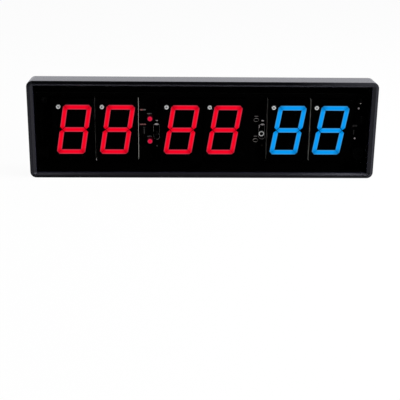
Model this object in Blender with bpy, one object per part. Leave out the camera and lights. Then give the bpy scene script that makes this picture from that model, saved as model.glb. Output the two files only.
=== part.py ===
"""Wall and desk interval timer: six slanted seven-segment digits behind a window in a moulded black case.

Frame: +X to the right as seen from the front, +Y to the rear, +Z up. The origin is on the surface that the
timer stands on, under the middle of its case. Lengths are in metres, and angles in radians.
Depths are counted to the rear from the crest of the bezel. Each digit, chip and fitting is placed from the
sizes below, so that a change of one size carries through to what fits it.
"""

import math

import bmesh
import bpy
from mathutils import Vector

# Clearance between pieces that touch
SEAT = 0.0003

# Lit figure on a module's face
DIGIT_COLOURS = ("red", "red", "red", "red", "blue", "blue")
DIGITS_PER_PAIR = 2
DIGIT_HEIGHT = 0.04572
DIGIT_WIDTH = 0.0259
DIGIT_SLOPE = 0.171
SEGMENT_WIDTH = 0.00435
SHARP_CORNER_CUT = 0.0026
BLUNT_CORNER_CUT = 0.0018
CELL_WALL = 0.0003
LENS_GAP = 0.0002
CELL_TAPER = 0.82
POINT_RADIUS = 0.0022
POINT_GAP = 0.0021
POINT_DROP = 0.0020
POINT_DEPTH = 0.0030
POINT_DIMPLE_RADIUS = 0.0007
POINT_DIMPLE_DEPTH = 0.0005

# Display modules
MODULE_SIDE_MARGIN = 0.00214
MODULE_END_MARGIN = 0.00564
MODULE_DEPTH = 0.0095
MODULE_GAP = 0.0011
MODULE_SKIRT = 0.0008
CARRIER_RECESS = 0.0024
CARRIER_THICKNESS = 0.0010
RESIN_THICKNESS = 0.0006
RESIN_MARGIN = 0.0040
PINS_PER_ROW = 5
PIN_PITCH = 0.00508
PIN_WIDTH = 0.0005
PIN_ROW_INSET = 0.0040
PIN_TAIL = 0.0015

# Screws
SCREW_RADIUS = 0.0013
SCREW_HEAD_HEIGHT = 0.0011
SCREW_HEAD_TOP = 0.72
SCREW_HEAD_SHOULDER = 0.45
SCREW_TIP = 0.35
COVER_SCREW_LENGTH = 0.0090
BOARD_SCREW_LENGTH = 0.0048

# Case
WALL = 0.0018
CORNER_RADIUS = 0.0055
FRONT_ROUNDING = 0.0008
REAR_ROUNDING = 0.0010
RIM_WIDTH = 0.0026
RIM_FALL = 0.0003
CREASE_WIDTH = 0.0004
CREASE_DEPTH = 0.0002
BEVEL_SIDE_WIDTH = 0.0025
BEVEL_TOP_WIDTH = 0.0014
BEVEL_DROP = 0.0019
LIP_DROP = 0.0011
RECESS_WALL = 0.0014
RECESS_RADIUS = 0.0005
LEDGE_RADIUS = 0.0025
LEDGE_WIDTH = 0.0020
LEDGE_THICKNESS = 0.0012
WINDOW_THICKNESS = 0.0020
WINDOW_TO_FACE = 0.0012
POST_WALL = 0.0018
POST_EDGE = 0.0008
POST_RIB = 0.0014

# Board, and the room left round it
BOARD_THICKNESS = 0.0016
BOARD_MARGIN = 0.0035
BOARD_END_GAP = 0.0032
BOARD_SLOT_LENGTH = 0.0120
SPARE_BELOW = 0.0028
SPARE_ABOVE = 0.0043
SPARE_AT_ENDS = 0.00405
SPARE_BEHIND = 0.00045

# Rear cover
COVER_SCREW_WEB = 0.0006
COVER_POST_WALL = 0.0014
KEYHOLE_SPACING = 0.2000
KEYHOLE_DROP_FROM_TOP = 0.0340
KEYHOLE_ENTRY_RADIUS = 0.0046
KEYHOLE_SLOT_RADIUS = 0.0025
KEYHOLE_TRAVEL = 0.0100

# Colon lights, 5 mm round type, and the slot beside them
LIGHT_RADIUS = 0.0025
LIGHT_FLANGE = 0.0004
LIGHT_FLANGE_HEIGHT = 0.0010
LIGHT_HEIGHT = 0.0086
LIGHT_LEAD_PITCH = 0.00254
LIGHT_SPACING = 0.0210
LIGHT_RISE = -0.0012
LIGHT_OFFSET = 0.0004
SLOT_OFFSET = 0.0057
SLOT_RISE = -0.0040
SLOT_SPARE = 0.0018
SLOT_SCREW_DROP = 0.0014

# Power inlet at the left end, for a 5.5 mm plug
JACK_BORE_RADIUS = 0.0030
JACK_BORE_DEPTH = 0.0100
JACK_SIDE_WALL = 0.0015
JACK_TOP_WALL = 0.0014
JACK_FLOOR = 0.0040
JACK_PIN_RADIUS = 0.0010
JACK_PIN_NOSE = 0.0005
JACK_PIN_RECESS = 0.0022
JACK_RISE = 0.0100
PORT_RADIUS = 0.0050
PORT_CHAMFER = 0.0006

# Sounder at the right end
BUZZER_RADIUS = 0.0060
BUZZER_HEIGHT = 0.0085
BUZZER_HOLE_RADIUS = 0.0012
BUZZER_LEG_PITCH = 0.0065
BUZZER_RISE = 0.0100
SOUND_HOLE_RADIUS = 0.0009
SOUND_HOLE_COUNT = 6
SOUND_RING_RADIUS = 0.0036

# Remote control receiver at the right end
RECEIVER_WIDTH = 0.0062
RECEIVER_HEIGHT = 0.0070
RECEIVER_DEPTH = 0.0030
RECEIVER_DOME_RADIUS = 0.0022
RECEIVER_STAND = 0.0040
RECEIVER_LEG_PITCH = 0.0020
RECEIVER_RISE = 0.0420

# Legs of through-hole parts
LEG_WIDTH = 0.0006
LEG_TAIL = 0.0012

# Surface-mounted chips
CHIP_THICKNESS = 0.0022
CHIP_STANDOFF = 0.0003
CHIP_LEG_PITCH = 0.00127
CHIP_LEG_WIDTH = 0.00042
CHIP_LEG_THICKNESS = 0.0003
CHIP_LEG_REACH = 0.0014
CHIP_LEG_KNEE = 0.00056
WIDE_CHIP = 0.0074
NARROW_CHIP = 0.0039

# Clock supply
CELL_RADIUS = 0.00625
CELL_THICKNESS = 0.0020
CELL_EDGE = 0.0003
HOLDER_HOOKS = 3
HOLDER_GAP_HALF_WIDTH = 0.0041
HOLDER_GAP_START = 0.0013
HOLDER_WALL = 0.0010
HOLDER_FLOOR = 0.0006
HOLDER_LIP_REACH = 0.0009
HOLDER_LIP_THICKNESS = 0.00045
CRYSTAL_RADIUS = 0.0010
CRYSTAL_LENGTH = 0.0060

# Supply and current-setting parts: width, height above the board, length
CAPACITOR_SIZE = (0.0043, 0.0029, 0.0073)
REGULATOR_SIZE = (0.0065, 0.0018, 0.0070)
RESISTOR_PACK_SIZE = (0.0064, 0.0006, 0.0032)
BLOCK_EDGE = 0.12

# Facets
CORNER_STEPS = 7
ROUND_STEPS = 16
SMALL_ROUND_STEPS = 10
SHARP_ANGLE = math.radians(32)
EDGE_STEPS = 4
LIGHT_DOME_STEPS = 4

# Sizes that follow from their neighbours
SCREW_HEAD_RADIUS = 2 * SCREW_RADIUS
PILOT_RADIUS = SCREW_RADIUS + SEAT
POST_RADIUS = PILOT_RADIUS + POST_WALL
POST_STANDOFF = SCREW_HEAD_RADIUS + 2 * SEAT + POST_EDGE
COVER_POST_RADIUS = PILOT_RADIUS + COVER_POST_WALL
COVER_THICKNESS = SCREW_HEAD_HEIGHT + SEAT + COVER_SCREW_WEB
MODULE_WIDTH = DIGIT_WIDTH + DIGIT_SLOPE * DIGIT_HEIGHT + 2 * MODULE_SIDE_MARGIN
MODULE_HEIGHT = DIGIT_HEIGHT + 2 * MODULE_END_MARGIN
POINT_UP = DIGIT_HEIGHT / 2 - POINT_DROP
POINT_LEFT = DIGIT_WIDTH / 2 - DIGIT_SLOPE * POINT_UP + POINT_GAP + POINT_RADIUS
COLON_BAY = 2 * (SLOT_OFFSET + SCREW_HEAD_RADIUS + SLOT_SPARE)
BEZEL_SIDE = RIM_WIDTH + CREASE_WIDTH + BEVEL_SIDE_WIDTH
BEZEL_TOP = RIM_WIDTH + CREASE_WIDTH + BEVEL_TOP_WIDTH
JACK_WIDTH = 2 * (JACK_BORE_RADIUS + JACK_SIDE_WALL)
JACK_HEIGHT = 2 * (JACK_BORE_RADIUS + JACK_TOP_WALL)
JACK_LENGTH = JACK_BORE_DEPTH + JACK_FLOOR

# Room that the tallest parts need in front of the board and behind it
LEDGE_ROOM = SEAT + LEDGE_THICKNESS + SEAT
FRONT_SPACE = SEAT + max(
    MODULE_DEPTH + WINDOW_TO_FACE,
    JACK_HEIGHT + LEDGE_ROOM,
    BUZZER_HEIGHT + LEDGE_ROOM,
    LIGHT_HEIGHT + SEAT,
    RECEIVER_STAND + RECEIVER_DEPTH + RECEIVER_DOME_RADIUS,
)
HOLDER_HEIGHT = HOLDER_FLOOR + SEAT + CELL_THICKNESS + SEAT + HOLDER_LIP_THICKNESS
REAR_SPACE = SEAT + SPARE_BEHIND + max(
    HOLDER_HEIGHT,
    CHIP_STANDOFF + CHIP_THICKNESS,
    CAPACITOR_SIZE[1],
    REGULATOR_SIZE[1],
    2 * CRYSTAL_RADIUS,
    PIN_TAIL,
    LEG_TAIL,
)

# Depths, counted from the bezel's crest
WINDOW_FRONT = BEVEL_DROP + LIP_DROP
WINDOW_REAR = WINDOW_FRONT + WINDOW_THICKNESS
LEDGE_FRONT = WINDOW_REAR + SEAT
LEDGE_REAR = LEDGE_FRONT + LEDGE_THICKNESS
BOARD_FRONT = WINDOW_REAR + FRONT_SPACE
BOARD_REAR = BOARD_FRONT + BOARD_THICKNESS
FACE_DEPTH = BOARD_FRONT - SEAT - MODULE_DEPTH
COVER_FRONT = BOARD_REAR + REAR_SPACE
CASE_DEPTH = COVER_FRONT + COVER_THICKNESS

# Depths inside a module, counted from its face
CELL_DEPTH = MODULE_DEPTH - CARRIER_RECESS
RESIN_FRONT = CELL_DEPTH + SEAT
RESIN_REAR = RESIN_FRONT + RESIN_THICKNESS
CARRIER_FRONT = RESIN_REAR + SEAT
CARRIER_REAR = CARRIER_FRONT + CARRIER_THICKNESS

# Widths
PAIRS = len(DIGIT_COLOURS) // DIGITS_PER_PAIR
PAIR_WIDTH = DIGITS_PER_PAIR * MODULE_WIDTH + (DIGITS_PER_PAIR - 1) * MODULE_GAP
PAIR_PITCH = PAIR_WIDTH + COLON_BAY
COLON_BAYS = [(i + 0.5 - (PAIRS - 1) / 2) * PAIR_PITCH for i in range(PAIRS - 1)]
ROW_HALF_WIDTH = (PAIRS * PAIR_WIDTH + (PAIRS - 1) * COLON_BAY) / 2
END_BAY = SPARE_AT_ENDS + 2 * SEAT + max(JACK_LENGTH, 2 * BUZZER_RADIUS + BOARD_END_GAP)
INNER_HALF_WIDTH = ROW_HALF_WIDTH + END_BAY
CASE_HALF_WIDTH = INNER_HALF_WIDTH + WALL
BOARD_HALF_WIDTH = INNER_HALF_WIDTH - BOARD_END_GAP
END_COLUMN = (ROW_HALF_WIDTH + BOARD_HALF_WIDTH) / 2

# Heights
POST_REACH = POST_STANDOFF + POST_RADIUS
BOARD_BOTTOM = WALL + POST_REACH + SPARE_BELOW
MODULE_BOTTOM = BOARD_BOTTOM + BOARD_MARGIN
MODULE_MIDDLE = MODULE_BOTTOM + MODULE_HEIGHT / 2
MODULE_TOP = MODULE_BOTTOM + MODULE_HEIGHT
BOARD_TOP = MODULE_TOP + BOARD_MARGIN
CASE_HEIGHT = BOARD_TOP + SPARE_ABOVE + POST_REACH + WALL
SLOT_Z = MODULE_MIDDLE + SLOT_RISE
JACK_Z = BOARD_BOTTOM + JACK_RISE
BUZZER_Z = BOARD_BOTTOM + BUZZER_RISE
RECEIVER_Z = BOARD_BOTTOM + RECEIVER_RISE

MATERIALS = {
    "case_black": ((0.012, 0.012, 0.014), 0.38, 0.0),
    "window_clear": ((0.02, 0.02, 0.022), 0.08, 0.0),
    "module_grey": ((0.30, 0.30, 0.29), 0.55, 0.0),
    "lens_red": ((0.90, 0.01, 0.03), 0.35, 0.0),
    "lens_blue": ((0.01, 0.30, 0.95), 0.35, 0.0),
    "lens_milk": ((0.62, 0.62, 0.60), 0.45, 0.0),
    "carrier_tan": ((0.45, 0.38, 0.22), 0.60, 0.0),
    "board_dark": ((0.010, 0.018, 0.014), 0.45, 0.0),
    "tin": ((0.62, 0.62, 0.60), 0.30, 1.0),
    "zinc": ((0.60, 0.60, 0.58), 0.28, 1.0),
    "chip_black": ((0.015, 0.015, 0.016), 0.50, 0.0),
    "brown_block": ((0.35, 0.20, 0.06), 0.50, 0.0),
    "ceramic": ((0.06, 0.06, 0.065), 0.45, 0.0),
}


def depth(distance):
    """Y of a plane that lies this far behind the bezel's crest."""
    return distance - CASE_DEPTH / 2


def clear_scene():
    for obj in list(bpy.data.objects):
        bpy.data.objects.remove(obj, do_unlink=True)


def material(name):
    found = bpy.data.materials.get(name)
    if found:
        return found
    colour, roughness, metallic = MATERIALS[name]
    made = bpy.data.materials.new(name)
    made.use_nodes = True
    shader = made.node_tree.nodes["Principled BSDF"]
    shader.inputs["Base Color"].default_value = (*colour, 1.0)
    shader.inputs["Roughness"].default_value = roughness
    shader.inputs["Metallic"].default_value = metallic
    made.diffuse_color = (*colour, 1.0)
    return made


def mesh_from(bm, name):
    """Turns a bmesh into mesh data with its faces pointing out, round parts smooth and corners sharp."""
    bmesh.ops.recalc_face_normals(bm, faces=bm.faces)
    data = bpy.data.meshes.new(name)
    bm.to_mesh(data)
    bm.free()
    data.shade_smooth()
    data.set_sharp_from_angle(angle=SHARP_ANGLE)
    return data


def place(name, data, finish, location=(0.0, 0.0, 0.0)):
    obj = bpy.data.objects.new(name, data)
    bpy.context.scene.collection.objects.link(obj)
    obj.location = location
    data.materials.clear()
    data.materials.append(material(finish))
    return obj


def join_loops(bm, loops, closed=False):
    """Skins a list of point loops of equal length; a closed list returns to its first loop, an open one is capped."""
    rings = [[bm.verts.new(point) for point in loop] for loop in loops]
    pairs = list(zip(rings, rings[1:]))
    if closed:
        pairs.append((rings[-1], rings[0]))
    for low, high in pairs:
        for i in range(len(low)):
            j = (i + 1) % len(low)
            bm.faces.new((low[i], low[j], high[j], high[i]))
    if not closed:
        bm.faces.new(list(reversed(rings[0])))
        bm.faces.new(rings[-1])
    return rings


def add_box(bm, low, high):
    corners = [
        [(x, low[1], low[2]), (x, high[1], low[2]), (x, high[1], high[2]), (x, low[1], high[2])]
        for x in (low[0], high[0])
    ]
    join_loops(bm, corners)


def add_turned(bm, profile, origin, axis, steps):
    """Adds a turned shape: profile is (radius, distance along axis) from one end to the other, both on the axis.

    The end points are given with radius zero and become single vertices.
    """
    along = Vector(axis).normalized()
    side = along.orthogonal().normalized()
    other = along.cross(side)
    origin = Vector(origin)
    first = bm.verts.new(origin + along * profile[0][1])
    last = bm.verts.new(origin + along * profile[-1][1])
    rings = []
    for radius, distance in profile[1:-1]:
        ring = []
        for i in range(steps):
            angle = 2 * math.pi * i / steps
            spoke = side * math.cos(angle) + other * math.sin(angle)
            ring.append(bm.verts.new(origin + along * distance + spoke * radius))
        rings.append(ring)
    for i in range(steps):
        j = (i + 1) % steps
        bm.faces.new((first, rings[0][j], rings[0][i]))
        bm.faces.new((last, rings[-1][i], rings[-1][j]))
        for low, high in zip(rings, rings[1:]):
            bm.faces.new((low[i], low[j], high[j], high[i]))


def cylinder_profile(radius, start, end):
    return [(0.0, start), (radius, start), (radius, end), (0.0, end)]


def flatten_faces(data):
    """Splits a mesh's faces into triangles, which are flat whatever the rounding of their corners."""
    bm = bmesh.new()
    bm.from_mesh(data)
    bmesh.ops.triangulate(bm, faces=bm.faces)
    bm.to_mesh(data)
    bm.free()


def carve(obj, cutter_mesh, operation="DIFFERENCE"):
    """Applies one Boolean to obj and drops the cutter."""
    flatten_faces(obj.data)
    flatten_faces(cutter_mesh)
    cutter = bpy.data.objects.new("cutter", cutter_mesh)
    bpy.context.scene.collection.objects.link(cutter)
    cutter.hide_render = True
    cutter.display_type = "WIRE"
    cut = obj.modifiers.new("cut", "BOOLEAN")
    cut.operation = operation
    cut.object = cutter
    cut.solver = "EXACT"
    bpy.context.view_layer.update()
    result = bpy.data.meshes.new_from_object(obj.evaluated_get(bpy.context.evaluated_depsgraph_get()))
    obj.modifiers.remove(cut)
    old = obj.data
    result.name = old.name
    obj.data = result
    bpy.data.meshes.remove(old)
    bpy.data.objects.remove(cutter, do_unlink=True)
    bpy.data.meshes.remove(cutter_mesh)
    result.shade_smooth()
    result.set_sharp_from_angle(angle=SHARP_ANGLE)


def taken_mesh(obj):
    """Removes an object that was only needed to shape its mesh, and gives the mesh."""
    data = obj.data
    bpy.data.objects.remove(obj, do_unlink=True)
    return data


def rounded_rectangle(half_width, bottom, top, radius, y, steps=CORNER_STEPS):
    """Points of an upright rounded rectangle at one depth, anticlockwise as seen from the front."""
    points = []
    centres = (
        (half_width - radius, top - radius, 0.0),
        (radius - half_width, top - radius, math.pi / 2),
        (radius - half_width, bottom + radius, math.pi),
        (half_width - radius, bottom + radius, 3 * math.pi / 2),
    )
    for x, z, start in centres:
        for i in range(steps + 1):
            angle = start + (math.pi / 2) * i / steps
            points.append((x + radius * math.cos(angle), y, z + radius * math.sin(angle)))
    return points


def case_profile():
    """Section of the frame's wall from its rear outer edge over the bezel and back inside, ending at the rear.

    Each entry is (inset at the sides, inset at top and bottom, depth, least corner radius).
    """
    outline = []
    for i in range(EDGE_STEPS):
        angle = (math.pi / 2) * i / (EDGE_STEPS - 1)
        inset = REAR_ROUNDING * (1 - math.sin(angle))
        outline.append((inset, inset, CASE_DEPTH - REAR_ROUNDING * (1 - math.cos(angle)), RECESS_RADIUS))
    for i in range(EDGE_STEPS + 1):
        angle = (math.pi / 2) * i / EDGE_STEPS
        inset = FRONT_ROUNDING * (1 - math.cos(angle))
        outline.append((inset, inset, RIM_FALL + FRONT_ROUNDING * (1 - math.sin(angle)), RECESS_RADIUS))
    groove = RIM_WIDTH + CREASE_WIDTH / 2
    crease = RIM_WIDTH + CREASE_WIDTH
    side_wall = BEZEL_SIDE - RECESS_WALL
    top_wall = BEZEL_TOP - RECESS_WALL
    side_ledge = BEZEL_SIDE + LEDGE_WIDTH
    top_ledge = BEZEL_TOP + LEDGE_WIDTH
    outline += [
        (RIM_WIDTH, RIM_WIDTH, 0.0, RECESS_RADIUS),
        (groove, groove, CREASE_DEPTH, RECESS_RADIUS),
        (crease, crease, 0.0, RECESS_RADIUS),
        (BEZEL_SIDE, BEZEL_TOP, BEVEL_DROP, RECESS_RADIUS),
        (BEZEL_SIDE, BEZEL_TOP, LEDGE_FRONT, RECESS_RADIUS),
        (side_ledge, top_ledge, LEDGE_FRONT, LEDGE_RADIUS),
        (side_ledge, top_ledge, LEDGE_REAR, LEDGE_RADIUS),
        (side_wall, top_wall, LEDGE_REAR, LEDGE_RADIUS),
        (side_wall, top_wall, WALL + BEVEL_DROP, LEDGE_RADIUS),
        (WALL, WALL, WALL + RIM_FALL + CREASE_DEPTH, RECESS_RADIUS),
        (WALL, WALL, CASE_DEPTH, RECESS_RADIUS),
    ]
    return outline


def frame_post_places():
    """Centres of the frame's six screw posts, along its top and bottom walls."""
    across = INNER_HALF_WIDTH - POST_STANDOFF
    low = WALL + POST_STANDOFF
    high = CASE_HEIGHT - WALL - POST_STANDOFF
    return [(x, z) for x in (-across, 0.0, across) for z in (low, high)]


def build_front_frame():
    loops = []
    for side, top, at, least in case_profile():
        radius = max(CORNER_RADIUS - side, least)
        loops.append(
            rounded_rectangle(CASE_HALF_WIDTH - side, top, CASE_HEIGHT - top, radius, depth(at))
        )
    bm = bmesh.new()
    join_loops(bm, loops, closed=True)
    frame = place("front_frame", mesh_from(bm, "front_frame"), "case_black")

    port = bmesh.new()
    outside = -CASE_HALF_WIDTH
    profile = [
        (0.0, -WALL),
        (PORT_RADIUS + PORT_CHAMFER + WALL, -WALL),
        (PORT_RADIUS, PORT_CHAMFER),
        (PORT_RADIUS, 2 * WALL),
        (0.0, 2 * WALL),
    ]
    add_turned(port, profile, (outside, depth(jack_axis_depth()), JACK_Z), (1, 0, 0), ROUND_STEPS)
    carve(frame, mesh_from(port, "port"))

    posts = bmesh.new()
    pilots = bmesh.new()
    post_front = LEDGE_REAR - LEDGE_THICKNESS / 2
    post_rear = COVER_FRONT - SEAT
    pilot_front = post_rear - COVER_SCREW_LENGTH
    for x, z in frame_post_places():
        solid = cylinder_profile(POST_RADIUS, depth(post_front), depth(post_rear))
        add_turned(posts, solid, (x, 0.0, z), (0, 1, 0), ROUND_STEPS)
        hole = cylinder_profile(PILOT_RADIUS, depth(pilot_front), depth(CASE_DEPTH))
        add_turned(pilots, hole, (x, 0.0, z), (0, 1, 0), SMALL_ROUND_STEPS)
    carve(frame, mesh_from(posts, "posts"), "UNION")

    # Ribs tie each post to the nearest walls, ending a little short of the cover
    upright_ribs = bmesh.new()
    level_ribs = bmesh.new()
    rib_ends = (depth(post_front + POST_RIB), depth(post_rear - POST_RIB))
    half = POST_RIB / 2
    for x, z in frame_post_places():
        wall_z = WALL / 2 if z < CASE_HEIGHT / 2 else CASE_HEIGHT - WALL / 2
        low, high = sorted((z, wall_z))
        add_box(upright_ribs, (x - half, rib_ends[0], low), (x + half, rib_ends[1], high))
        if x:
            wall_x = math.copysign(CASE_HALF_WIDTH - WALL / 2, x)
            left, right = sorted((x, wall_x))
            add_box(level_ribs, (left, rib_ends[0], z - half), (right, rib_ends[1], z + half))
    carve(frame, mesh_from(upright_ribs, "upright_ribs"), "UNION")
    carve(frame, mesh_from(level_ribs, "level_ribs"), "UNION")
    carve(frame, mesh_from(pilots, "pilots"))


def build_window():
    inset_x = BEZEL_SIDE + SEAT
    inset_z = BEZEL_TOP + SEAT
    loops = [
        rounded_rectangle(CASE_HALF_WIDTH - inset_x, inset_z, CASE_HEIGHT - inset_z, RECESS_RADIUS, y, 2)
        for y in (depth(WINDOW_FRONT), depth(WINDOW_REAR))
    ]
    bm = bmesh.new()
    join_loops(bm, loops)
    place("window", mesh_from(bm, "window"), "window_clear")


def clip(polygon, normal, offset):
    """Keeps the part of a convex polygon where normal . point <= offset."""
    kept = []
    for i, start in enumerate(polygon):
        end = polygon[(i + 1) % len(polygon)]
        a = normal[0] * start[0] + normal[1] * start[1] - offset
        b = normal[0] * end[0] + normal[1] * end[1] - offset
        if a <= 0:
            kept.append(start)
        if a * b < 0:
            t = a / (a - b)
            kept.append((start[0] + t * (end[0] - start[0]), start[1] + t * (end[1] - start[1])))
    return kept


def segment_outlines(inset):
    """The seven segments' outlines before the slant, each a convex polygon; inset draws every edge in.

    Neighbours meet on diagonals through the crossings of their centre lines, and the four outer
    corners are cut off: more where the slant makes them sharp, and less where it makes them blunt.
    """
    half_w = DIGIT_WIDTH / 2
    half_h = DIGIT_HEIGHT / 2
    bar = SEGMENT_WIDTH
    node_u = half_w - bar / 2
    seam = CELL_WALL / 2 + LENS_GAP + inset
    diagonal = math.sqrt(0.5)

    def corner_cut(polygon, su, sv):
        size = SHARP_CORNER_CUT if su == sv else BLUNT_CORNER_CUT
        offset = (half_w + half_h - size) * diagonal - inset
        return clip(polygon, (su * diagonal, sv * diagonal), offset)

    def mitre(polygon, su, sv, keep):
        """Cuts along the diagonal from an outer corner; keep is +1 for the level bar, -1 for the upright."""
        normal = (keep * su * diagonal, -keep * sv * diagonal)
        offset = normal[0] * su * half_w + normal[1] * sv * half_h - seam
        return clip(polygon, normal, offset)

    def node_cut(polygon, u, normal):
        scaled = (normal[0] * diagonal, normal[1] * diagonal)
        return clip(polygon, scaled, scaled[0] * u - seam)

    def band(u_low, u_high, v_low, v_high):
        return [
            (u_low + inset, v_low + inset),
            (u_high - inset, v_low + inset),
            (u_high - inset, v_high - inset),
            (u_low + inset, v_high - inset),
        ]

    outlines = []
    for sv in (1, -1):
        low, high = sorted((sv * half_h, sv * (half_h - bar)))
        level = band(-half_w, half_w, low, high)
        for su in (1, -1):
            level = corner_cut(mitre(level, su, sv, 1), su, sv)
        outlines.append(level)
        for su in (1, -1):
            left, right = sorted((su * half_w, su * (half_w - bar)))
            bottom, top = sorted((0.0, sv * half_h))
            upright = [
                (left + inset, bottom - bar),
                (right - inset, bottom - bar),
                (right - inset, top + bar),
                (left + inset, top + bar),
            ]
            upright = corner_cut(mitre(upright, su, sv, -1), su, sv)
            for slope in (1, -1):
                upright = node_cut(upright, su * node_u, (slope, -sv))
            outlines.append(upright)
    middle = band(-half_w, half_w, -bar / 2, bar / 2)
    for su in (1, -1):
        for slope in (1, -1):
            middle = node_cut(middle, su * node_u, (su, slope))
    outlines.append(middle)
    return outlines


def slanted(point):
    """Leans a point of the upright figure to the right, as it lies on the module's face."""
    u, v = point
    return (u + DIGIT_SLOPE * v, v)


def tapered_prism(bm, outline, front, rear):
    """Adds a bar between two depths whose section shrinks as the module's cells do, from the face to their rear."""
    points = [Vector(p) for p in outline]
    centre = sum(points, Vector((0.0, 0.0))) / len(points)
    loops = []
    for y in (front, rear):
        scale = 1 - (1 - CELL_TAPER) * y / CELL_DEPTH
        ring = []
        for p in points:
            x, z = slanted(centre + (p - centre) * scale)
            ring.append((x, y, z))
        loops.append(ring)
    join_loops(bm, loops)


def module_body_mesh():
    """Open-backed block with a recess for the carrier, and eight cells that narrow from the face to the recess."""
    half_w = MODULE_WIDTH / 2
    half_h = MODULE_HEIGHT / 2

    def rectangle(shrink, y):
        w = half_w - shrink
        h = half_h - shrink
        return [(-w, y, -h), (w, y, -h), (w, y, h), (-w, y, h)]

    bm = bmesh.new()
    join_loops(
        bm,
        [
            rectangle(0.0, 0.0),
            rectangle(0.0, MODULE_DEPTH),
            rectangle(MODULE_SKIRT, MODULE_DEPTH),
            rectangle(MODULE_SKIRT, CELL_DEPTH),
        ],
    )
    body = place("module_blank", mesh_from(bm, "module_body"), "module_grey")

    # The cells' cutters run past the face and the recess floor, along the same taper
    front = -RESIN_THICKNESS
    rear = CELL_DEPTH + RESIN_THICKNESS
    cells = bmesh.new()
    for outline in segment_outlines(-LENS_GAP):
        tapered_prism(cells, outline, front, rear)
    round_cell = cylinder_profile(POINT_RADIUS + LENS_GAP, front, rear)
    add_turned(cells, round_cell, (-POINT_LEFT, 0.0, POINT_UP), (0, 1, 0), ROUND_STEPS)
    carve(body, mesh_from(cells, "cells"))
    return taken_mesh(body)


def module_segments_mesh():
    """The diffusing resin: seven bars that fill the cells, joined by the thin sheet left behind the block."""
    half_w = MODULE_WIDTH / 2 - RESIN_MARGIN
    half_h = MODULE_HEIGHT / 2 - RESIN_MARGIN
    sheet = bmesh.new()
    add_box(sheet, (-half_w, RESIN_FRONT, -half_h), (half_w, RESIN_REAR, half_h))
    resin = place("resin_blank", mesh_from(sheet, "module_segments"), "lens_red")
    bars = bmesh.new()
    for outline in segment_outlines(0.0):
        tapered_prism(bars, outline, 0.0, (RESIN_FRONT + RESIN_REAR) / 2)
    carve(resin, mesh_from(bars, "bars"), "UNION")
    return taken_mesh(resin)


def module_point_mesh():
    """Diffuser of the decimal point, with the small hollow over its die."""
    bm = bmesh.new()
    profile = [
        (0.0, POINT_DIMPLE_DEPTH),
        (POINT_DIMPLE_RADIUS, POINT_DIMPLE_DEPTH),
        (POINT_DIMPLE_RADIUS, 0.0),
        (POINT_RADIUS, 0.0),
        (POINT_RADIUS, POINT_DEPTH),
        (0.0, POINT_DEPTH),
    ]
    add_turned(bm, profile, (-POINT_LEFT, 0.0, POINT_UP), (0, 1, 0), ROUND_STEPS)
    return mesh_from(bm, "module_point")


def pin_places():
    """Pin centres on a module, in two rows at its top and bottom."""
    rise = MODULE_HEIGHT / 2 - PIN_ROW_INSET
    span = (PINS_PER_ROW - 1) * PIN_PITCH
    return [(i * PIN_PITCH - span / 2, z) for z in (-rise, rise) for i in range(PINS_PER_ROW)]


def square_pegs(places, width, front, rear, name):
    """Mesh of square pegs along Y at the given places."""
    bm = bmesh.new()
    half = width / 2
    for x, z in places:
        add_box(bm, (x - half, front, z - half), (x + half, rear, z + half))
    return mesh_from(bm, name)


def module_carrier_mesh():
    """Small circuit board that closes the block's back, with the ten pins soldered into it."""
    half_w = MODULE_WIDTH / 2 - MODULE_SKIRT - SEAT
    half_h = MODULE_HEIGHT / 2 - MODULE_SKIRT - SEAT
    bm = bmesh.new()
    add_box(bm, (-half_w, CARRIER_FRONT, -half_h), (half_w, CARRIER_REAR, half_h))
    carrier = place("carrier_blank", mesh_from(bm, "module_carrier"), "carrier_tan")
    tail = MODULE_DEPTH + SEAT + BOARD_THICKNESS + PIN_TAIL
    middle = (CARRIER_FRONT + CARRIER_REAR) / 2
    carve(carrier, square_pegs(pin_places(), PIN_WIDTH, middle, tail, "pins"), "UNION")
    return taken_mesh(carrier)


def module_centre(index):
    pair, member = divmod(index, DIGITS_PER_PAIR)
    first = -ROW_HALF_WIDTH + MODULE_WIDTH / 2
    return first + pair * PAIR_PITCH + member * (MODULE_WIDTH + MODULE_GAP)


def build_digits():
    """The six modules: four pieces each, from shared meshes, under one empty at the middle of the face."""
    body = module_body_mesh()
    segments = module_segments_mesh()
    point = module_point_mesh()
    carrier = module_carrier_mesh()
    for index, colour in enumerate(DIGIT_COLOURS):
        label = f"digit_{index + 1}"
        anchor = bpy.data.objects.new(f"{label}_place", None)
        bpy.context.scene.collection.objects.link(anchor)
        anchor.location = (module_centre(index), depth(FACE_DEPTH), MODULE_MIDDLE)
        pieces = [
            place(f"{label}_body", body, "module_grey"),
            place(f"{label}_segments", segments.copy(), f"lens_{colour}"),
            place(f"{label}_point", point, "lens_milk"),
            place(f"{label}_carrier", carrier, "carrier_tan"),
        ]
        for piece in pieces:
            piece.parent = anchor
    bpy.data.meshes.remove(segments)


def light_places():
    """The colon's two lights stand in the first wide gap, one above the other."""
    x = COLON_BAYS[0] + LIGHT_OFFSET
    middle = MODULE_MIDDLE + LIGHT_RISE
    return {"upper": (x, middle + LIGHT_SPACING / 2), "lower": (x, middle - LIGHT_SPACING / 2)}


def light_lead_places(centre):
    x, z = centre
    return [(x - LIGHT_LEAD_PITCH / 2, z), (x + LIGHT_LEAD_PITCH / 2, z)]


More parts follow.
